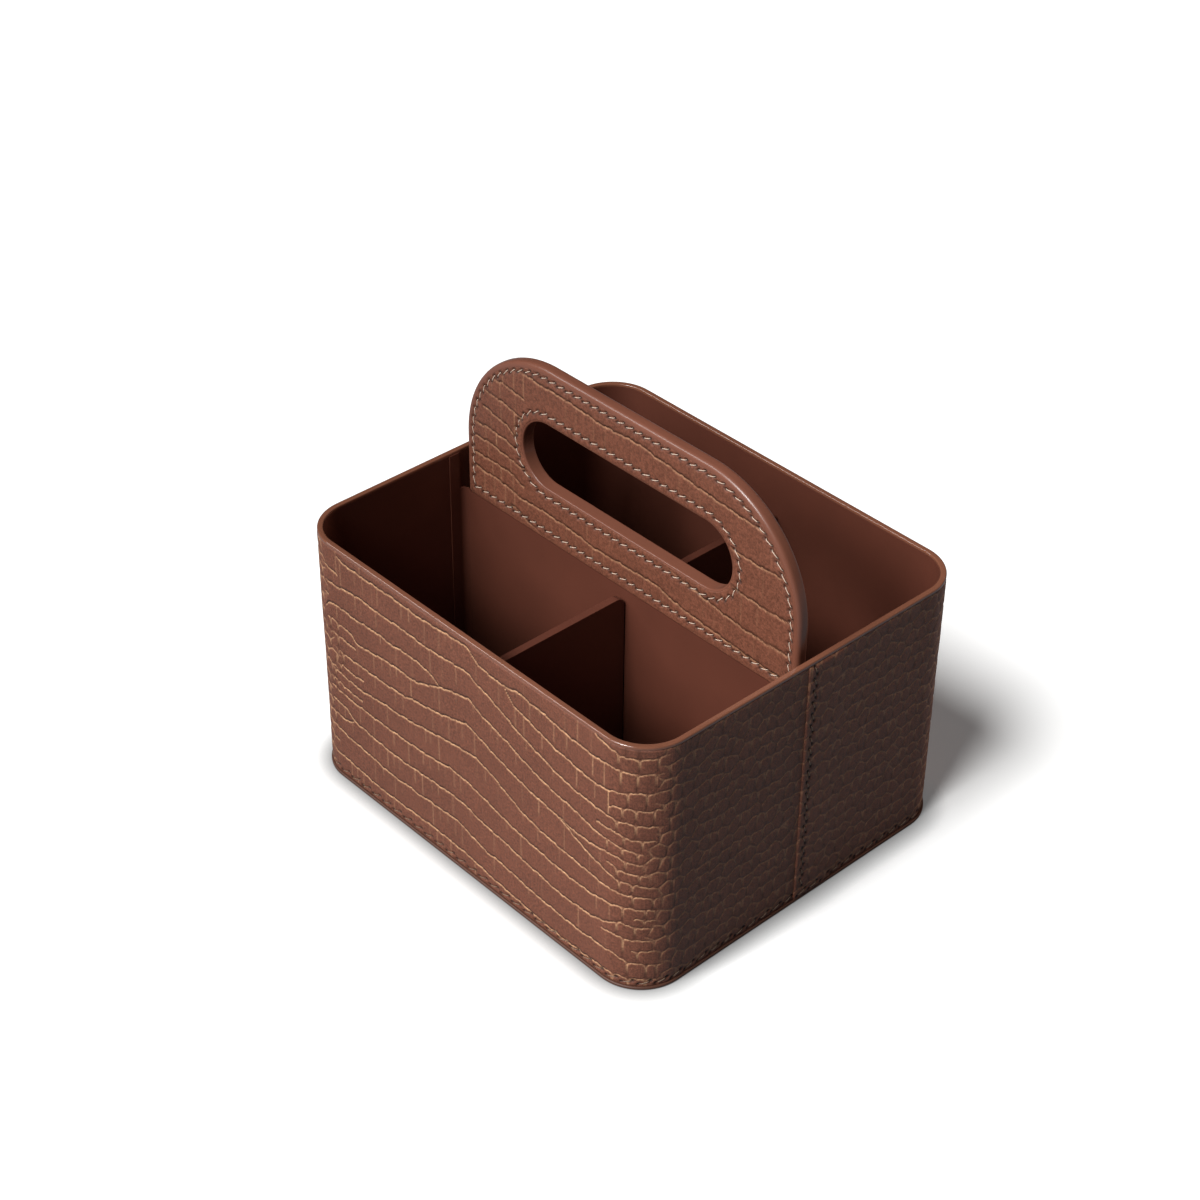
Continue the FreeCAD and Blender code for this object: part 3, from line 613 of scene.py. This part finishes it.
def add(tree, kind, settings=None, **links):
    """Add a node with its settings and inputs. An input is a value, or a node with its output.

    An input goes by its name, or by its number, as in i0. Of a mix, 0 is the share, 6 and 7 are the
    colours, and its result is output 2. Of a range, 1 and 2 are read, and 3 and 4 are given."""
    node = tree.nodes.new(kind)
    for name, value in (settings or {}).items():
        setattr(node, name, value)
    for name, value in links.items():
        key = int(name[1:]) if name[0] == "i" and name[1:].isdigit() else name.replace("_", " ")
        if isinstance(value, tuple) and isinstance(value[0], bpy.types.Node):
            tree.links.new(value[0].outputs[value[1]], node.inputs[key])
        else:
            node.inputs[key].default_value = value
    return node


def new_material(name):
    """Empty node material with its tree."""
    material = bpy.data.materials.new(name)
    material.use_nodes = True
    material.node_tree.nodes.clear()
    return material, material.node_tree


def finish_surface(tree, shader):
    """Join a shader to the material's output."""
    add(tree, "ShaderNodeOutputMaterial", Surface=(shader, 0))


def shade(rgb, share=1):
    """A colour with its alpha, or a darker or lighter tone of it."""
    return (*[c * share for c in rgb], 1)


def embossed_leather():
    """Calf leather pressed with a scale plate, dyed, then rubbed.

    The plate leaves satin scales with a fine upright grain. Rubbing takes the dye off the groove edges, so
    they show a warm tan, with a painted highlight on the side that faces up. Dye and painted shade darken the
    side that faces down, and the needle holes are painted almost black as shade. It is made on first use."""
    name = "embossed_calf_leather"
    if name in bpy.data.materials:
        return bpy.data.materials[name]
    material, tree = new_material(name)
    c = colours()
    place = (add(tree, "ShaderNodeTexCoord"), "Object")
    # Upright brushing: about 0.7 mm across and 25 mm long.
    across, up = 1 / (0.7 * MM), 1 / (25 * MM)
    brushed = add(tree, "ShaderNodeMapping", Vector=place, Scale=(across, across, up))
    brushing = add(tree, "ShaderNodeTexNoise", Vector=(brushed, 0), Scale=1.0, Detail=3.0)
    # Dye clouds about 18 mm wide, and pebbled pores about 1.1 mm.
    cloud = add(tree, "ShaderNodeTexNoise", Vector=place, Scale=1 / (18 * MM), Detail=4.0)
    pore = add(tree, "ShaderNodeTexNoise", Vector=place, Scale=1 / (1.1 * MM), Detail=6.0, Roughness=0.8)
    rubbed, dark, hole = [
        (add(tree, "ShaderNodeAttribute", {"attribute_name": share}), "Fac") for share in SHARES]

    # Clouded tones of the dye, and a near-black tone for the painted shade in the grooves.
    dull, bright, deep = [shade(c.embossed, share) for share in (0.84, 1.14, 0.12)]
    dyed = add(tree, "ShaderNodeMix", BLEND, i0=(cloud, 0), i6=dull, i7=bright)
    streak = add(tree, "ShaderNodeMapRange", i0=(brushing, 0), i1=0.3, i2=0.7, i3=0.97, i4=1.03)
    streaked = add(tree, "ShaderNodeMix", TINT, i0=1.0, i6=(dyed, 2), i7=(streak, 0))
    # Pores take more or less of the dye.
    speck = add(tree, "ShaderNodeMapRange", i0=(pore, 0), i1=0.36, i2=0.64, i3=0.52, i4=1.42)
    flecked = add(tree, "ShaderNodeMix", TINT, i0=1.0, i6=(streaked, 2), i7=(speck, 0))
    # The rubbed tan and painted highlight are uneven along a groove.
    broken = add(tree, "ShaderNodeMapRange", i0=(pore, 0), i1=0.36, i2=0.58, i3=0.35, i4=1.0)
    tan_and_highlight_share = add(tree, "ShaderNodeMath", TIMES, i0=rubbed, i1=(broken, 0))
    tan_and_highlight_colour = add(tree, "ShaderNodeMix", BLEND, i0=(tan_and_highlight_share, 0), i6=(flecked, 2), i7=shade(c.groove))
    # Dye gathers in the bottom of a groove, and painted shade darkens the groove's steep side with it.
    dye_and_shade_weight = add(tree, "ShaderNodeMath", TIMES, i0=dark, i1=0.95)
    lined = add(tree, "ShaderNodeMix", BLEND, i0=(dye_and_shade_weight, 0), i6=(tan_and_highlight_colour, 2), i7=deep)
    # The needle holes are painted near black, as the shade inside them.
    pierced = add(tree, "ShaderNodeMix", BLEND, i0=hole, i6=(lined, 2), i7=shade(c.hole))

    gloss = add(tree, "ShaderNodeMapRange", i0=(pore, 0), i1=0.3, i2=0.7, i3=0.42, i4=0.58)
    grain = add(tree, "ShaderNodeMath", {"operation": "MULTIPLY_ADD"}, i0=(brushing, 0), i1=0.5, i2=(pore, 0))
    bump = add(tree, "ShaderNodeBump", Strength=0.9, Distance=0.4 * MM, Height=(grain, 0))
    leather = add(
        tree, "ShaderNodeBsdfPrincipled", Base_Color=(pierced, 2), Roughness=(gloss, 0), Normal=(bump, 0),
        IOR=LEATHER_IOR)
    finish_surface(tree, leather)
    return material


def plain_leather(name):
    """Smooth finished calf leather.

    Its dye is even with soft clouds, its pores are fine, and it has a satin shine or polished edge paint."""
    tone, gloss_low, gloss_high, polish = PLAIN_LEATHERS[name]
    rgb = getattr(colours(), tone)
    material, tree = new_material(name)
    place = (add(tree, "ShaderNodeTexCoord"), "Object")
    # Dye clouds about 25 mm wide, and pores about 0.5 mm.
    cloud = add(tree, "ShaderNodeTexNoise", Vector=place, Scale=1 / (25 * MM), Detail=5.0)
    pore = add(tree, "ShaderNodeTexNoise", Vector=place, Scale=1 / (0.5 * MM), Detail=4.0)
    dyed = add(tree, "ShaderNodeMix", BLEND, i0=(cloud, 0), i6=shade(rgb, 0.85), i7=shade(rgb, 1.13))
    speck = add(tree, "ShaderNodeMapRange", i0=(pore, 0), i1=0.3, i2=0.7, i3=0.96, i4=1.04)
    speckled = add(tree, "ShaderNodeMix", TINT, i0=1.0, i6=(dyed, 2), i7=(speck, 0))
    gloss = add(tree, "ShaderNodeMapRange", i0=(pore, 0), i1=0.3, i2=0.7, i3=gloss_low, i4=gloss_high)
    bump = add(tree, "ShaderNodeBump", Strength=0.1, Distance=0.06 * MM, Height=(pore, 0))
    leather = add(
        tree, "ShaderNodeBsdfPrincipled", Base_Color=(speckled, 2), Roughness=(gloss, 0), Normal=(bump, 0),
        IOR=LEATHER_IOR, Coat_Weight=polish, Coat_Roughness=0.1)
    finish_surface(tree, leather)
    return material


def linen_thread(name, rgb):
    """Waxed linen thread: the slant of its two plies shows as a fine rib."""
    material, tree = new_material(name)
    place = (add(tree, "ShaderNodeTexCoord"), "Object")
    # A wave at scale 1 repeats every 0.36 to 0.63 m, so the plies cross the thread about every 1 mm.
    plies = 0.3 / (0.7 * MM)
    ply = add(
        tree, "ShaderNodeTexWave", {"bands_direction": "DIAGONAL"}, Vector=place, Scale=plies, Distortion=2.0)
    # The hollows between the plies are painted darker, as shade.
    tone = add(tree, "ShaderNodeMix", BLEND, i0=(ply, 1), i6=shade(rgb, 0.72), i7=shade(rgb))
    bump = add(tree, "ShaderNodeBump", Strength=0.5, Distance=0.1 * MM, Height=(ply, 1))
    thread = add(tree, "ShaderNodeBsdfPrincipled", Base_Color=(tone, 2), Roughness=0.6, Normal=(bump, 0))
    finish_surface(tree, thread)
    return material


def fibre_board():
    """Bookbinder's board: matt pressed fibre with a fleck of darker pulp."""
    material, tree = new_material("pressed_fibre_board")
    rgb = colours().board
    place = (add(tree, "ShaderNodeTexCoord"), "Object")
    # Pulp flecks about 1.5 mm wide.
    pulp = add(tree, "ShaderNodeTexNoise", Vector=place, Scale=1 / (1.5 * MM), Detail=4.0)
    tone = add(tree, "ShaderNodeMix", BLEND, i0=(pulp, 0), i6=shade(rgb, 0.7), i7=shade(rgb, 1.15))
    board = add(tree, "ShaderNodeBsdfPrincipled", Base_Color=(tone, 2), Roughness=0.9)
    finish_surface(tree, board)
    return material


def dress(names, material):
    """Give carried-over CAD nodes their material."""
    for name in names:
        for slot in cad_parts[name].material_slots:
            slot.material = material


# Pieces


def wall_scaled(left_size):
    """Way the wall's rows break up: scales at both corners and on the ends, and a patch at the left.

    Places are in mm, and each row's own chance shifts where its scales begin."""
    def scaled(u, v, chance):
        right = grow(u, 91 + 9 * chance, 6)
        patch = np.where((v > 55) & (v < 99), 82, 98)
        left = grow(-u, patch + 3 * chance, 6)
        share = np.maximum(right, left)
        # On the ends the rows are lost along a wandering border, and the lines get less rubbed tan and
        # painted highlight, as the ends get only grazing light.
        end = grow(np.abs(u), 114, 16)
        border = np.where(u < 0, 95, 117) + 3 * np.sin(v / 7) + 2 * np.sin(v / 19 + 1)
        cells = grow(np.abs(u), border + 4 * chance, 5)
        # The creases are strongest at the upper right.
        creased = 0.8 + 1.2 * grow(u, 62, 20) * grow(v, 95, 10)
        return share, cells, np.where(u < 0, left_size, 1), creased, 1 - 0.55 * end
    return scaled


def handle_scaled(u, v, chance):
    """No scales on the handle, but more creases at its left end; its lines get little rubbed tan and painted
    highlight.
    """
    creased = 0.6 + 1.2 * grow(-u, 60, 15) * (0.5 + chance)
    return 0 * u, 0 * v, 1 + 0 * u, creased, 0.5 + 0 * u


def wrap_thickness():
    """Thickness of the outer wraps, from the lap that stands out past the front one."""
    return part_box("rear_outer_wrap")[1].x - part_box("front_outer_wrap")[1].x


def wrap_stitches(nodes, turn, reach, columns):
    """Stitches through half of the box, placed along its outline and upwards, in mm."""
    spots = np.linspace(-reach, reach, 8 * columns)
    outline, _ = wall_outline(spots)
    # The other half's stitches are further away than this.
    near = 2 * wrap_thickness()
    stitches = []
    for node in nodes:
        for middle, way, out, span in stitch_places(node):
            middle, way, out = [measure * (turn, turn, 1) for measure in (middle, way, out)]
            gap = np.hypot(*(outline[:, :2] - middle[:2]).T)
            nearest = int(np.argmin(gap))
            if gap[nearest] < near:
                level = Vector((0, 0, 1)).cross(Vector(out)).dot(Vector(way))
                stitches.append((spots[nearest] / MM, middle[2] / MM, level, way[2], span / MM))
    return stitches


def wrap(name, node, turn, reach, lapped, left_size, seed):
    """Embossed leather round half of the box, closed at the back.

    A lapped one lies over the other at its ends and is sewn to it there."""
    s = shape()
    low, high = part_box(node)
    thick = wrap_thickness()
    side = np.linspace(s.scaled_from, reach, int((reach - s.scaled_from) / s.mesh_scaled))
    middle = np.linspace(-s.scaled_from, s.scaled_from, int(2 * s.scaled_from / s.mesh_long))
    along = np.concatenate([-side[::-1], middle[1:-1], side])
    columns = len(along)
    rows = int((high.z - low.z) / s.mesh_rise)
    up = np.linspace(low.z, high.z, rows)
    u, v = np.meshgrid(along / MM, up / MM)
    height, rubbed, dark = embossing(u, v, WALL_GROOVES, wall_scaled(left_size), seed)
    seams = ["left_seam_stitches", "right_seam_stitches"] if lapped else []
    dent, hole = sewn(u, v, wrap_stitches(["base_stitches", *seams], turn, reach, columns))

    # The row round the base presses the relief flatter, and the upper and lower edges turn in under the
    # binding and the base sheet.
    base_row, base_reach, base_press = 2.4, 2.2, 0.5
    edge_drop, edge_reach = 0.35, 0.5
    foot, head = v - low.z / MM, high.z / MM - v
    height = height * (1 - np.exp(-((foot - base_row) / base_reach) ** 2) * base_press) + dent
    height = height - edge_drop * np.exp(-(np.minimum(foot, head) / edge_reach) ** 2)
    lift = 0 * along
    if lapped:
        ramp = grow(np.abs(along), reach - s.lap_flat - s.lap_ramp, s.lap_ramp)
        fold = grow(np.abs(along), reach - s.lap_round, s.lap_round)
        # The lap flattens out below the rim's binding.
        below_rim = grow(high.z - up[:, None], 0, 2 * MM)
        lift = thick * ramp ** 2 * (3 - 2 * ramp) * np.sqrt(1 - fold ** 2) * np.sqrt(below_rim)

    places, outs = wall_outline(along)
    front = places[None] + outs[None] * (height * MM + lift)[..., None]
    front[..., 2] = up[:, None]
    back = places[None] - outs[None] * thick + np.array([0, 0, 1]) * np.array([high.z, low.z])[:, None, None]
    points = np.concatenate([front, back]) * (turn, turn, 1)
    ends = np.arange(rows + 2) * columns
    faces = [*grid_faces(rows + 2, columns, loop=True), ends, ends[::-1] + columns - 1]
    piece = new_piece(name, points, faces, embossed_leather(), node)
    paint_leather(piece, rubbed, dark, hole)


class CaddyWraps(bpy.types.Operator):
    """Make the two embossed wraps, lapped at the middle of each end"""

    bl_idname = "caddy.wraps"
    bl_label = "Outer wraps"

    def execute(self, context):
        s = shape()
        middle = half_round()
        front_reach = middle - s.seam_lap + s.lap_tuck
        wrap("front_wrap", "front_outer_wrap", 1, front_reach, False, s.left_scales, seed=11)
        wrap("rear_wrap", "rear_outer_wrap", -1, middle + s.seam_lap, True, 1, seed=12)
        return {"FINISHED"}


class CaddyRim(bpy.types.Operator):
    """Make the plain leather folded over the rim"""

    bl_idname = "caddy.rim"
    bl_label = "Rim binding"

    def execute(self, context):
        s = shape()
        low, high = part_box("rim_binding")
        wall = high.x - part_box("front_wall_lining")[1].x + s.lining_thickness
        middle = half_round()
        half_steps = 700
        places, outs = wall_outline(np.linspace(-middle, middle, half_steps, endpoint=False))
        places = np.concatenate([places, places * (-1, -1, 1)])
        outs = np.concatenate([outs, outs * (-1, -1, 1)])
        profile = rounded(
            [(0, low.z), (0, high.z), (-wall, high.z), (-wall, low.z)],
            [s.rim_foot_round, s.rim_outer_round, s.rim_inner_round, s.rim_foot_round])
        points, faces = sweep(places, outs, (0, 0, 1), profile, closed=True)
        leather = plain_leather("rim_calf_leather")
        new_piece("rim_leather", points, faces, leather, "rim_binding")
        return {"FINISHED"}


def arc(centre, radius, first, last, count):
    """Places on an arc in the handle's plane, from one angle to another, without the last one."""
    turn = np.radians(np.linspace(first, last, count, endpoint=False))
    return np.stack([centre[0] + radius * np.cos(turn), centre[1] + radius * np.sin(turn)], -1)


def line(start, end, count):
    """Places on a line, without the last one."""
    return np.linspace(start, end, count, endpoint=False)


def upright(flat, y=0.0):
    """Places in the handle's plane as places in space."""
    return np.stack([flat[:, 0], np.full(len(flat), y), flat[:, 1]], -1)


def path_ways(flat, closed):
    """Ways square to a path in the handle's plane, to its left."""
    if closed:
        step = np.roll(flat, -1, 0) - np.roll(flat, 1, 0)
    else:
        step = np.gradient(flat, axis=0)
    step = step / np.linalg.norm(step, axis=1)[:, None]
    return np.stack([-step[:, 1], step[:, 0]], -1)


def handle_sizes():
    """Half length, foot, top, shoulder radius of the handle's board, and half thickness over its facings."""
    low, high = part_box("handle_front_facing")
    return high.x, low.z, high.z, shape().shoulder_radius, -low.y


def slot_sizes():
    """Reach of the hand slot's arc centres, its middle height, its radius and the lining's thickness."""
    low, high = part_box("slot_lining")
    thick = shape().slot_thickness
    radius = (high.z - low.z) / 2 - thick
    return high.x - thick - radius, (low.z + high.z) / 2, radius, thick


def facing(name, node, stitch_nodes, turn, seed):
    """Embossed face of the handle: a ring from the hand slot out to the edge binding."""
    s = shape()
    half, foot, top, shoulder, face = handle_sizes()
    slot_x, slot_z, slot_r, thick = slot_sizes()
    inner_r = slot_r + thick
    arch_x, arch_z = half - shoulder, top - shoulder
    # Points on the ring's long sides, shoulders, uprights and lower corners, and from the slot to the edge.
    sides, bends, rises, corners, rows = 190, 100, 50, 80, 64
    inner = np.concatenate([
        line((-slot_x, slot_z + inner_r), (slot_x, slot_z + inner_r), sides),
        arc((slot_x, slot_z), inner_r, 90, 0, bends),
        arc((slot_x, slot_z), inner_r, 0, -40, rises),
        arc((slot_x, slot_z), inner_r, -40, -90, corners),
        line((slot_x, slot_z - inner_r), (-slot_x, slot_z - inner_r), sides),
        arc((-slot_x, slot_z), inner_r, -90, -140, corners),
        arc((-slot_x, slot_z), inner_r, -140, -180, rises),
        arc((-slot_x, slot_z), inner_r, 180, 90, bends),
    ])
    outer = np.concatenate([
        line((-arch_x, top), (arch_x, top), sides),
        arc((arch_x, arch_z), shoulder, 90, 0, bends),
        line((half, arch_z), (half, foot), rises),
        line((half, foot), (slot_x, foot), corners),
        line((slot_x, foot), (-slot_x, foot), sides),
        line((-slot_x, foot), (-half, foot), corners),
        line((-half, foot), (-half, arch_z), rises),
        arc((-arch_x, arch_z), shoulder, 180, 90, bends),
    ])
    share = np.linspace(0, 1, rows)[:, None, None]
    flat = inner[None] * (1 - share) + outer[None] * share
    u, v = flat[..., 0] / MM, flat[..., 1] / MM
    height, rubbed, dark = embossing(u, v, HANDLE_GROOVES, handle_scaled, seed)
    stitches = [
        (turn * middle[0] / MM, middle[2] / MM, turn * way[0], way[2], span / MM)
        for stitch_node in stitch_nodes for middle, way, _, span in stitch_places(stitch_node)]
    dent, hole = sewn(u, v, stitches)

    # The relief fades out towards the slot and the edge, where the leather is drawn over the board.
    to_slot = np.linalg.norm(flat - inner[None], axis=-1) / MM
    to_edge = np.linalg.norm(flat - outer[None], axis=-1) / MM
    rim = np.minimum(to_slot, to_edge)
    fade_from, fade_width, puff_reach = 0.8, 4, 3
    fade = grow(rim, fade_from, fade_width)
    puff = s.facing_puff / MM * (1 - np.exp(-rim / puff_reach))
    lift = (height * fade + puff + dent) * MM
    front = np.stack([flat[..., 0], -face - lift, flat[..., 1]], -1)
    back_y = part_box(node)[1].y if turn > 0 else -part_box(node)[0].y
    back = np.stack([upright(outer, back_y), upright(inner, back_y)])
    points = np.concatenate([front, back]) * (turn, turn, 1)
    faces = grid_faces(rows + 2, len(inner), ring=True, loop=True)
    piece = new_piece(name, points, faces, embossed_leather(), node)
    paint_leather(piece, rubbed * fade, dark * fade, hole)


class CaddyFacings(bpy.types.Operator):
    """Make the embossed faces of the handle"""

    bl_idname = "caddy.facings"
    bl_label = "Handle facings"

    def execute(self, context):
        for side, turn, seed in (("front", 1, 21), ("rear", -1, 22)):
            rows = [f"{row}_stitches" for row in (
                f"handle_{side}_outline", f"handle_{side}_lower", f"slot_{side}")]
            facing(f"handle_{side}_leather", f"handle_{side}_facing", rows, turn, seed)
        return {"FINISHED"}


class CaddyEdge(bpy.types.Operator):
    """Make the rounded leather round the handle's edge and inside the hand slot"""

    bl_idname = "caddy.edge"
    bl_label = "Handle edge and slot"

    def execute(self, context):
        s = shape()
        half, foot, top, shoulder, face = handle_sizes()
        leather = plain_leather("smooth_calf_leather")
        # Points on an upright, on an arc and on a long side.
        rises, bends, sides = 24, 90, 60
        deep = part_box("handle_edge_binding")[1].x - half
        arch_x, arch_z = half - shoulder, top - shoulder
        path = np.concatenate([
            line((half, foot), (half, arch_z), rises),
            arc((arch_x, arch_z), shoulder, 0, 90, bends),
            line((arch_x, top), (-arch_x, top), sides),
            arc((-arch_x, arch_z), shoulder, 90, 180, bends),
            np.linspace((-half, arch_z), (-half, foot), rises),
        ])
        outs = upright(-path_ways(path, closed=False))
        profile = rounded(
            [(0, -face), (deep, -face), (deep, face), (0, face)],
            [0, s.edge_round, s.edge_round, 0], steps=9)
        points, faces = sweep(upright(path), outs, (0, 1, 0), profile, closed=False)
        new_piece("handle_edge_leather", points, faces, leather, "handle_edge_binding")

        slot_x, slot_z, slot_r, thick = slot_sizes()
        ring = np.concatenate([
            line((slot_x, slot_z - slot_r), (-slot_x, slot_z - slot_r), sides),
            arc((-slot_x, slot_z), slot_r, -90, -270, bends),
            line((-slot_x, slot_z + slot_r), (slot_x, slot_z + slot_r), sides),
            arc((slot_x, slot_z), slot_r, 90, -90, bends),
        ])
        outs = upright(path_ways(ring, closed=True))
        profile = rounded(
            [(thick, -face), (0, -face), (0, face), (thick, face)],
            [0, s.slot_round, s.slot_round, 0], steps=7)
        points, faces = sweep(upright(ring), outs, (0, 1, 0), profile, closed=True)
        new_piece("slot_leather", points, faces, leather, "slot_lining")
        return {"FINISHED"}


def threads(name, node, shown, material):
    """Threads of one row: each rises from its hole, lies on the leather and goes back down."""
    s = shape()
    rings, sides, flatten = 11, 8, 0.8
    share = np.linspace(-1, 1, rings)
    turn = np.linspace(0, 2 * math.pi, sides, endpoint=False)
    tube = tube_faces(rings, sides)
    points, faces = [], []
    rng = np.random.default_rng(5)
    for middle, way, out, span in stitch_places(node):
        across = np.cross(out, way)
        # No two stitches are pulled quite alike, and upright ones are pulled deeper.
        span = span * rng.uniform(0.84, 1.1)
        rise = s.thread_rise * rng.uniform(0.2, 1.4) - s.upright_sink * way[2] ** 2
        # A thread dives steeply into its holes and thins out a little towards them.
        height = rise - (rise + s.thread_sink) * np.abs(share) ** 6
        radius = s.thread_radius * (1 - 0.3 * np.abs(share) ** 3)
        course = middle + way * (share * shown * span / 2)[:, None] + out * height[:, None]
        ring = across * np.cos(turn)[:, None] + out * flatten * np.sin(turn)[:, None]
        faces += [face + len(points) * rings * sides for face in tube]
        points.append(course[:, None] + ring[None] * radius[:, None, None])
    new_piece(name, points, faces, material, node)


class CaddyThreads(bpy.types.Operator):
    """Make the sewing thread of every row of stitches"""

    bl_idname = "caddy.threads"
    bl_label = "Stitches"

    def execute(self, context):
        s, c = shape(), colours()
        pale = s.handle_thread_show, linen_thread("waxed_linen_thread", c.thread)
        # Round the base and at the ends the thread is painted darker, as shade.
        dull = s.box_thread_show, linen_thread("brown_linen_thread", c.dark_thread)
        for node in sorted(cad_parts):
            if node.endswith("_stitches"):
                box = node.startswith("base") or "seam" in node
                threads(node.replace("_stitches", "_thread"), node, *(dull if box else pale))
        return {"FINISHED"}


class CaddyInside(bpy.types.Operator):
    """Dress the linings, the dividers, the base sheet and the boards"""

    bl_idname = "caddy.inside"
    bl_label = "Linings, dividers and base"

    def execute(self, context):
        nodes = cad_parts
        covers = [n for n in nodes if n.endswith("_divider_cover")]
        linings = [n for n in nodes if n.endswith("_lining") and n != "slot_lining"]
        dress(linings + covers, plain_leather("lining_calf_leather"))
        for name in covers:
            soft = nodes[name].modifiers.new("soft_edges", "BEVEL")
            soft.width = shape().divider_round
            soft.segments = 3
            soft.limit_method = "ANGLE"
        dress(["base_cover"], plain_leather("base_calf_leather"))
        dress([n for n in nodes if n.endswith("_board")], fibre_board())
        return {"FINISHED"}


# Studio


def aim(azimuth, elevation):
    """Way from the caddy towards a camera or lamp."""
    return Vector((
        math.sin(azimuth) * math.cos(elevation),
        -math.cos(azimuth) * math.cos(elevation),
        math.sin(elevation)))


def lamp(name, kind, way, strength, floor, lights_floor):
    """Lamp that shines from a way; it lights the floor alone, or all but the floor."""
    data = bpy.data.lights.new(name, kind)
    data.energy = strength
    made = bpy.data.objects.new(name, data)
    made.rotation_euler = way.to_track_quat("Z", "Y").to_euler()
    bpy.context.scene.collection.objects.link(made)
    lit = bpy.data.collections.new(f"{name}_floor")
    lit.objects.link(floor)
    lit.collection_objects[0].light_linking.link_state = "INCLUDE" if lights_floor else "EXCLUDE"
    made.light_linking.receiver_collection = lit
    return made


def studio_floor():
    """Matt white sweep: white to the camera, with the caddy's shadow, and dull as a light source."""
    st = stage()
    material, tree = new_material("matt_white_sweep")
    path = add(tree, "ShaderNodeLightPath")
    # Painted contact shadow: the sweep darkens close to whatever stands on it.
    near = add(tree, "ShaderNodeAmbientOcclusion", Distance=st.contact_reach)
    contact_shadow = add(tree, "ShaderNodeMath", {"operation": "POWER"}, i0=(near, "AO"), i1=st.contact_power)
    tone = add(tree, "ShaderNodeMix", TINT, i0=1.0, i6=shade(colours().floor), i7=(contact_shadow, 0))
    seen = add(tree, "ShaderNodeBsdfDiffuse", Color=(tone, 2))
    glow = add(tree, "ShaderNodeEmission", Strength=st.floor_glow)
    white = add(tree, "ShaderNodeAddShader", i0=(seen, 0), i1=(glow, 0))
    dull = add(tree, "ShaderNodeBsdfDiffuse", Color=shade(colours().bounce))
    floor = add(tree, "ShaderNodeMixShader", i0=(path, "Is Camera Ray"), i1=(dull, 0), i2=(white, 0))
    finish_surface(tree, floor)
    return material


def studio_room():
    """White room to the camera and a weak light from all round to the caddy."""
    world = bpy.data.worlds.new("studio_room")
    world.use_nodes = True
    tree = world.node_tree
    tree.nodes.clear()
    path = add(tree, "ShaderNodeLightPath")
    strength = add(tree, "ShaderNodeMapRange", i0=(path, "Is Camera Ray"), i3=stage().room_light, i4=1.0)
    sky = add(tree, "ShaderNodeBackground", Strength=(strength, 0), Color=(1, 1, 1, 1))
    add(tree, "ShaderNodeOutputWorld", Surface=(sky, 0))
    return world


class CaddyStudio(bpy.types.Operator):
    """Make the floor, the lamps, the room light and the camera"""

    bl_idname = "caddy.studio"
    bl_label = "Studio"

    def execute(self, context):
        scene = context.scene
        st = stage()
        scene.view_settings.view_transform = "Standard"

        mesh = bpy.data.meshes.new("floor")
        half = st.floor_size / 2
        corners = [(x * half, y * half, 0) for x, y in ((-1, -1), (1, -1), (1, 1), (-1, 1))]
        mesh.from_pydata(corners, [], [(0, 1, 2, 3)])
        floor = bpy.data.objects.new("floor", mesh)
        scene.collection.objects.link(floor)
        mesh.materials.append(studio_floor())

        # The key light leaves the floor to a steeper lamp of its own, so the shadow stays short.
        suns = {}
        for role in ("key", "floor", "edge", "back"):
            azimuth, elevation, spread, strength = [
                getattr(st, f"{role}_{value}") for value in ("azimuth", "elevation", "spread", "strength")]
            way = aim(azimuth, elevation)
            suns[role] = lamp(f"{role}_light", "SUN", way, strength, floor, lights_floor=role == "floor")
            suns[role].data.angle = spread
        # The back light shows the rear's own colour, and leaves no shine on edges that the front shows.
        suns["back"].visible_glossy = False
        # A soft pool of light brings up the right half.
        way = aim(st.accent_azimuth, st.key_elevation)
        accent = lamp("accent_light", "SPOT", way, st.accent_power, floor, lights_floor=False)
        accent.location = Vector(st.accent_target) + way * st.accent_distance
        accent.data.spot_size = st.accent_width
        accent.data.spot_blend = 1
        accent.data.shadow_soft_size = st.accent_radius

        scene.world = studio_room()

        data = bpy.data.cameras.new("camera")
        data.lens = st.camera_lens
        data.sensor_width = st.camera_sensor
        camera = bpy.data.objects.new("camera", data)
        back = aim(st.camera_azimuth, st.camera_elevation)
        turned = back.to_track_quat("Z", "Y").to_matrix().to_4x4() @ Matrix.Rotation(st.camera_roll, 4, "Z")
        place = Vector(st.camera_target) + back * st.camera_distance
        camera.matrix_world = Matrix.Translation(place) @ turned
        scene.collection.objects.link(camera)
        scene.camera = camera
        return {"FINISHED"}


class CaddyPanel(bpy.types.Panel):
    """Sizes, colours and steps of the caddy"""

    bl_idname = "CADDY_PT_steps"
    bl_label = "Carry-all caddy"
    bl_space_type = "VIEW_3D"
    bl_region_type = "UI"
    bl_category = "Caddy"

    def draw(self, context):
        for step in STEPS:
            self.layout.operator(step.bl_idname)
        for group in (shape(), colours(), stage()):
            box = self.layout.box()
            for name in group.__annotations__:
                box.prop(group, name)


STEPS = (CaddyWraps, CaddyRim, CaddyFacings, CaddyEdge, CaddyThreads, CaddyInside, CaddyStudio)
GROUPS = {"caddy_shape": CaddyShape, "caddy_colours": CaddyColours, "caddy_stage": CaddyStage}


def register():
    for group in GROUPS.values():
        bpy.utils.register_class(group)
    for name, group in GROUPS.items():
        setattr(bpy.types.Scene, name, bpy.props.PointerProperty(type=group))
    for step in (*STEPS, CaddyPanel):
        bpy.utils.register_class(step)


def unregister():
    for step in reversed((*STEPS, CaddyPanel)):
        bpy.utils.unregister_class(step)
    for name in GROUPS:
        delattr(bpy.types.Scene, name)
    for group in reversed(list(GROUPS.values())):
        bpy.utils.unregister_class(group)


def main():
    register()
    bpy.ops.caddy.wraps()
    bpy.ops.caddy.rim()
    bpy.ops.caddy.facings()
    bpy.ops.caddy.edge()
    bpy.ops.caddy.threads()
    bpy.ops.caddy.inside()
    bpy.ops.caddy.studio()


if __name__ == "__main__":
    main()
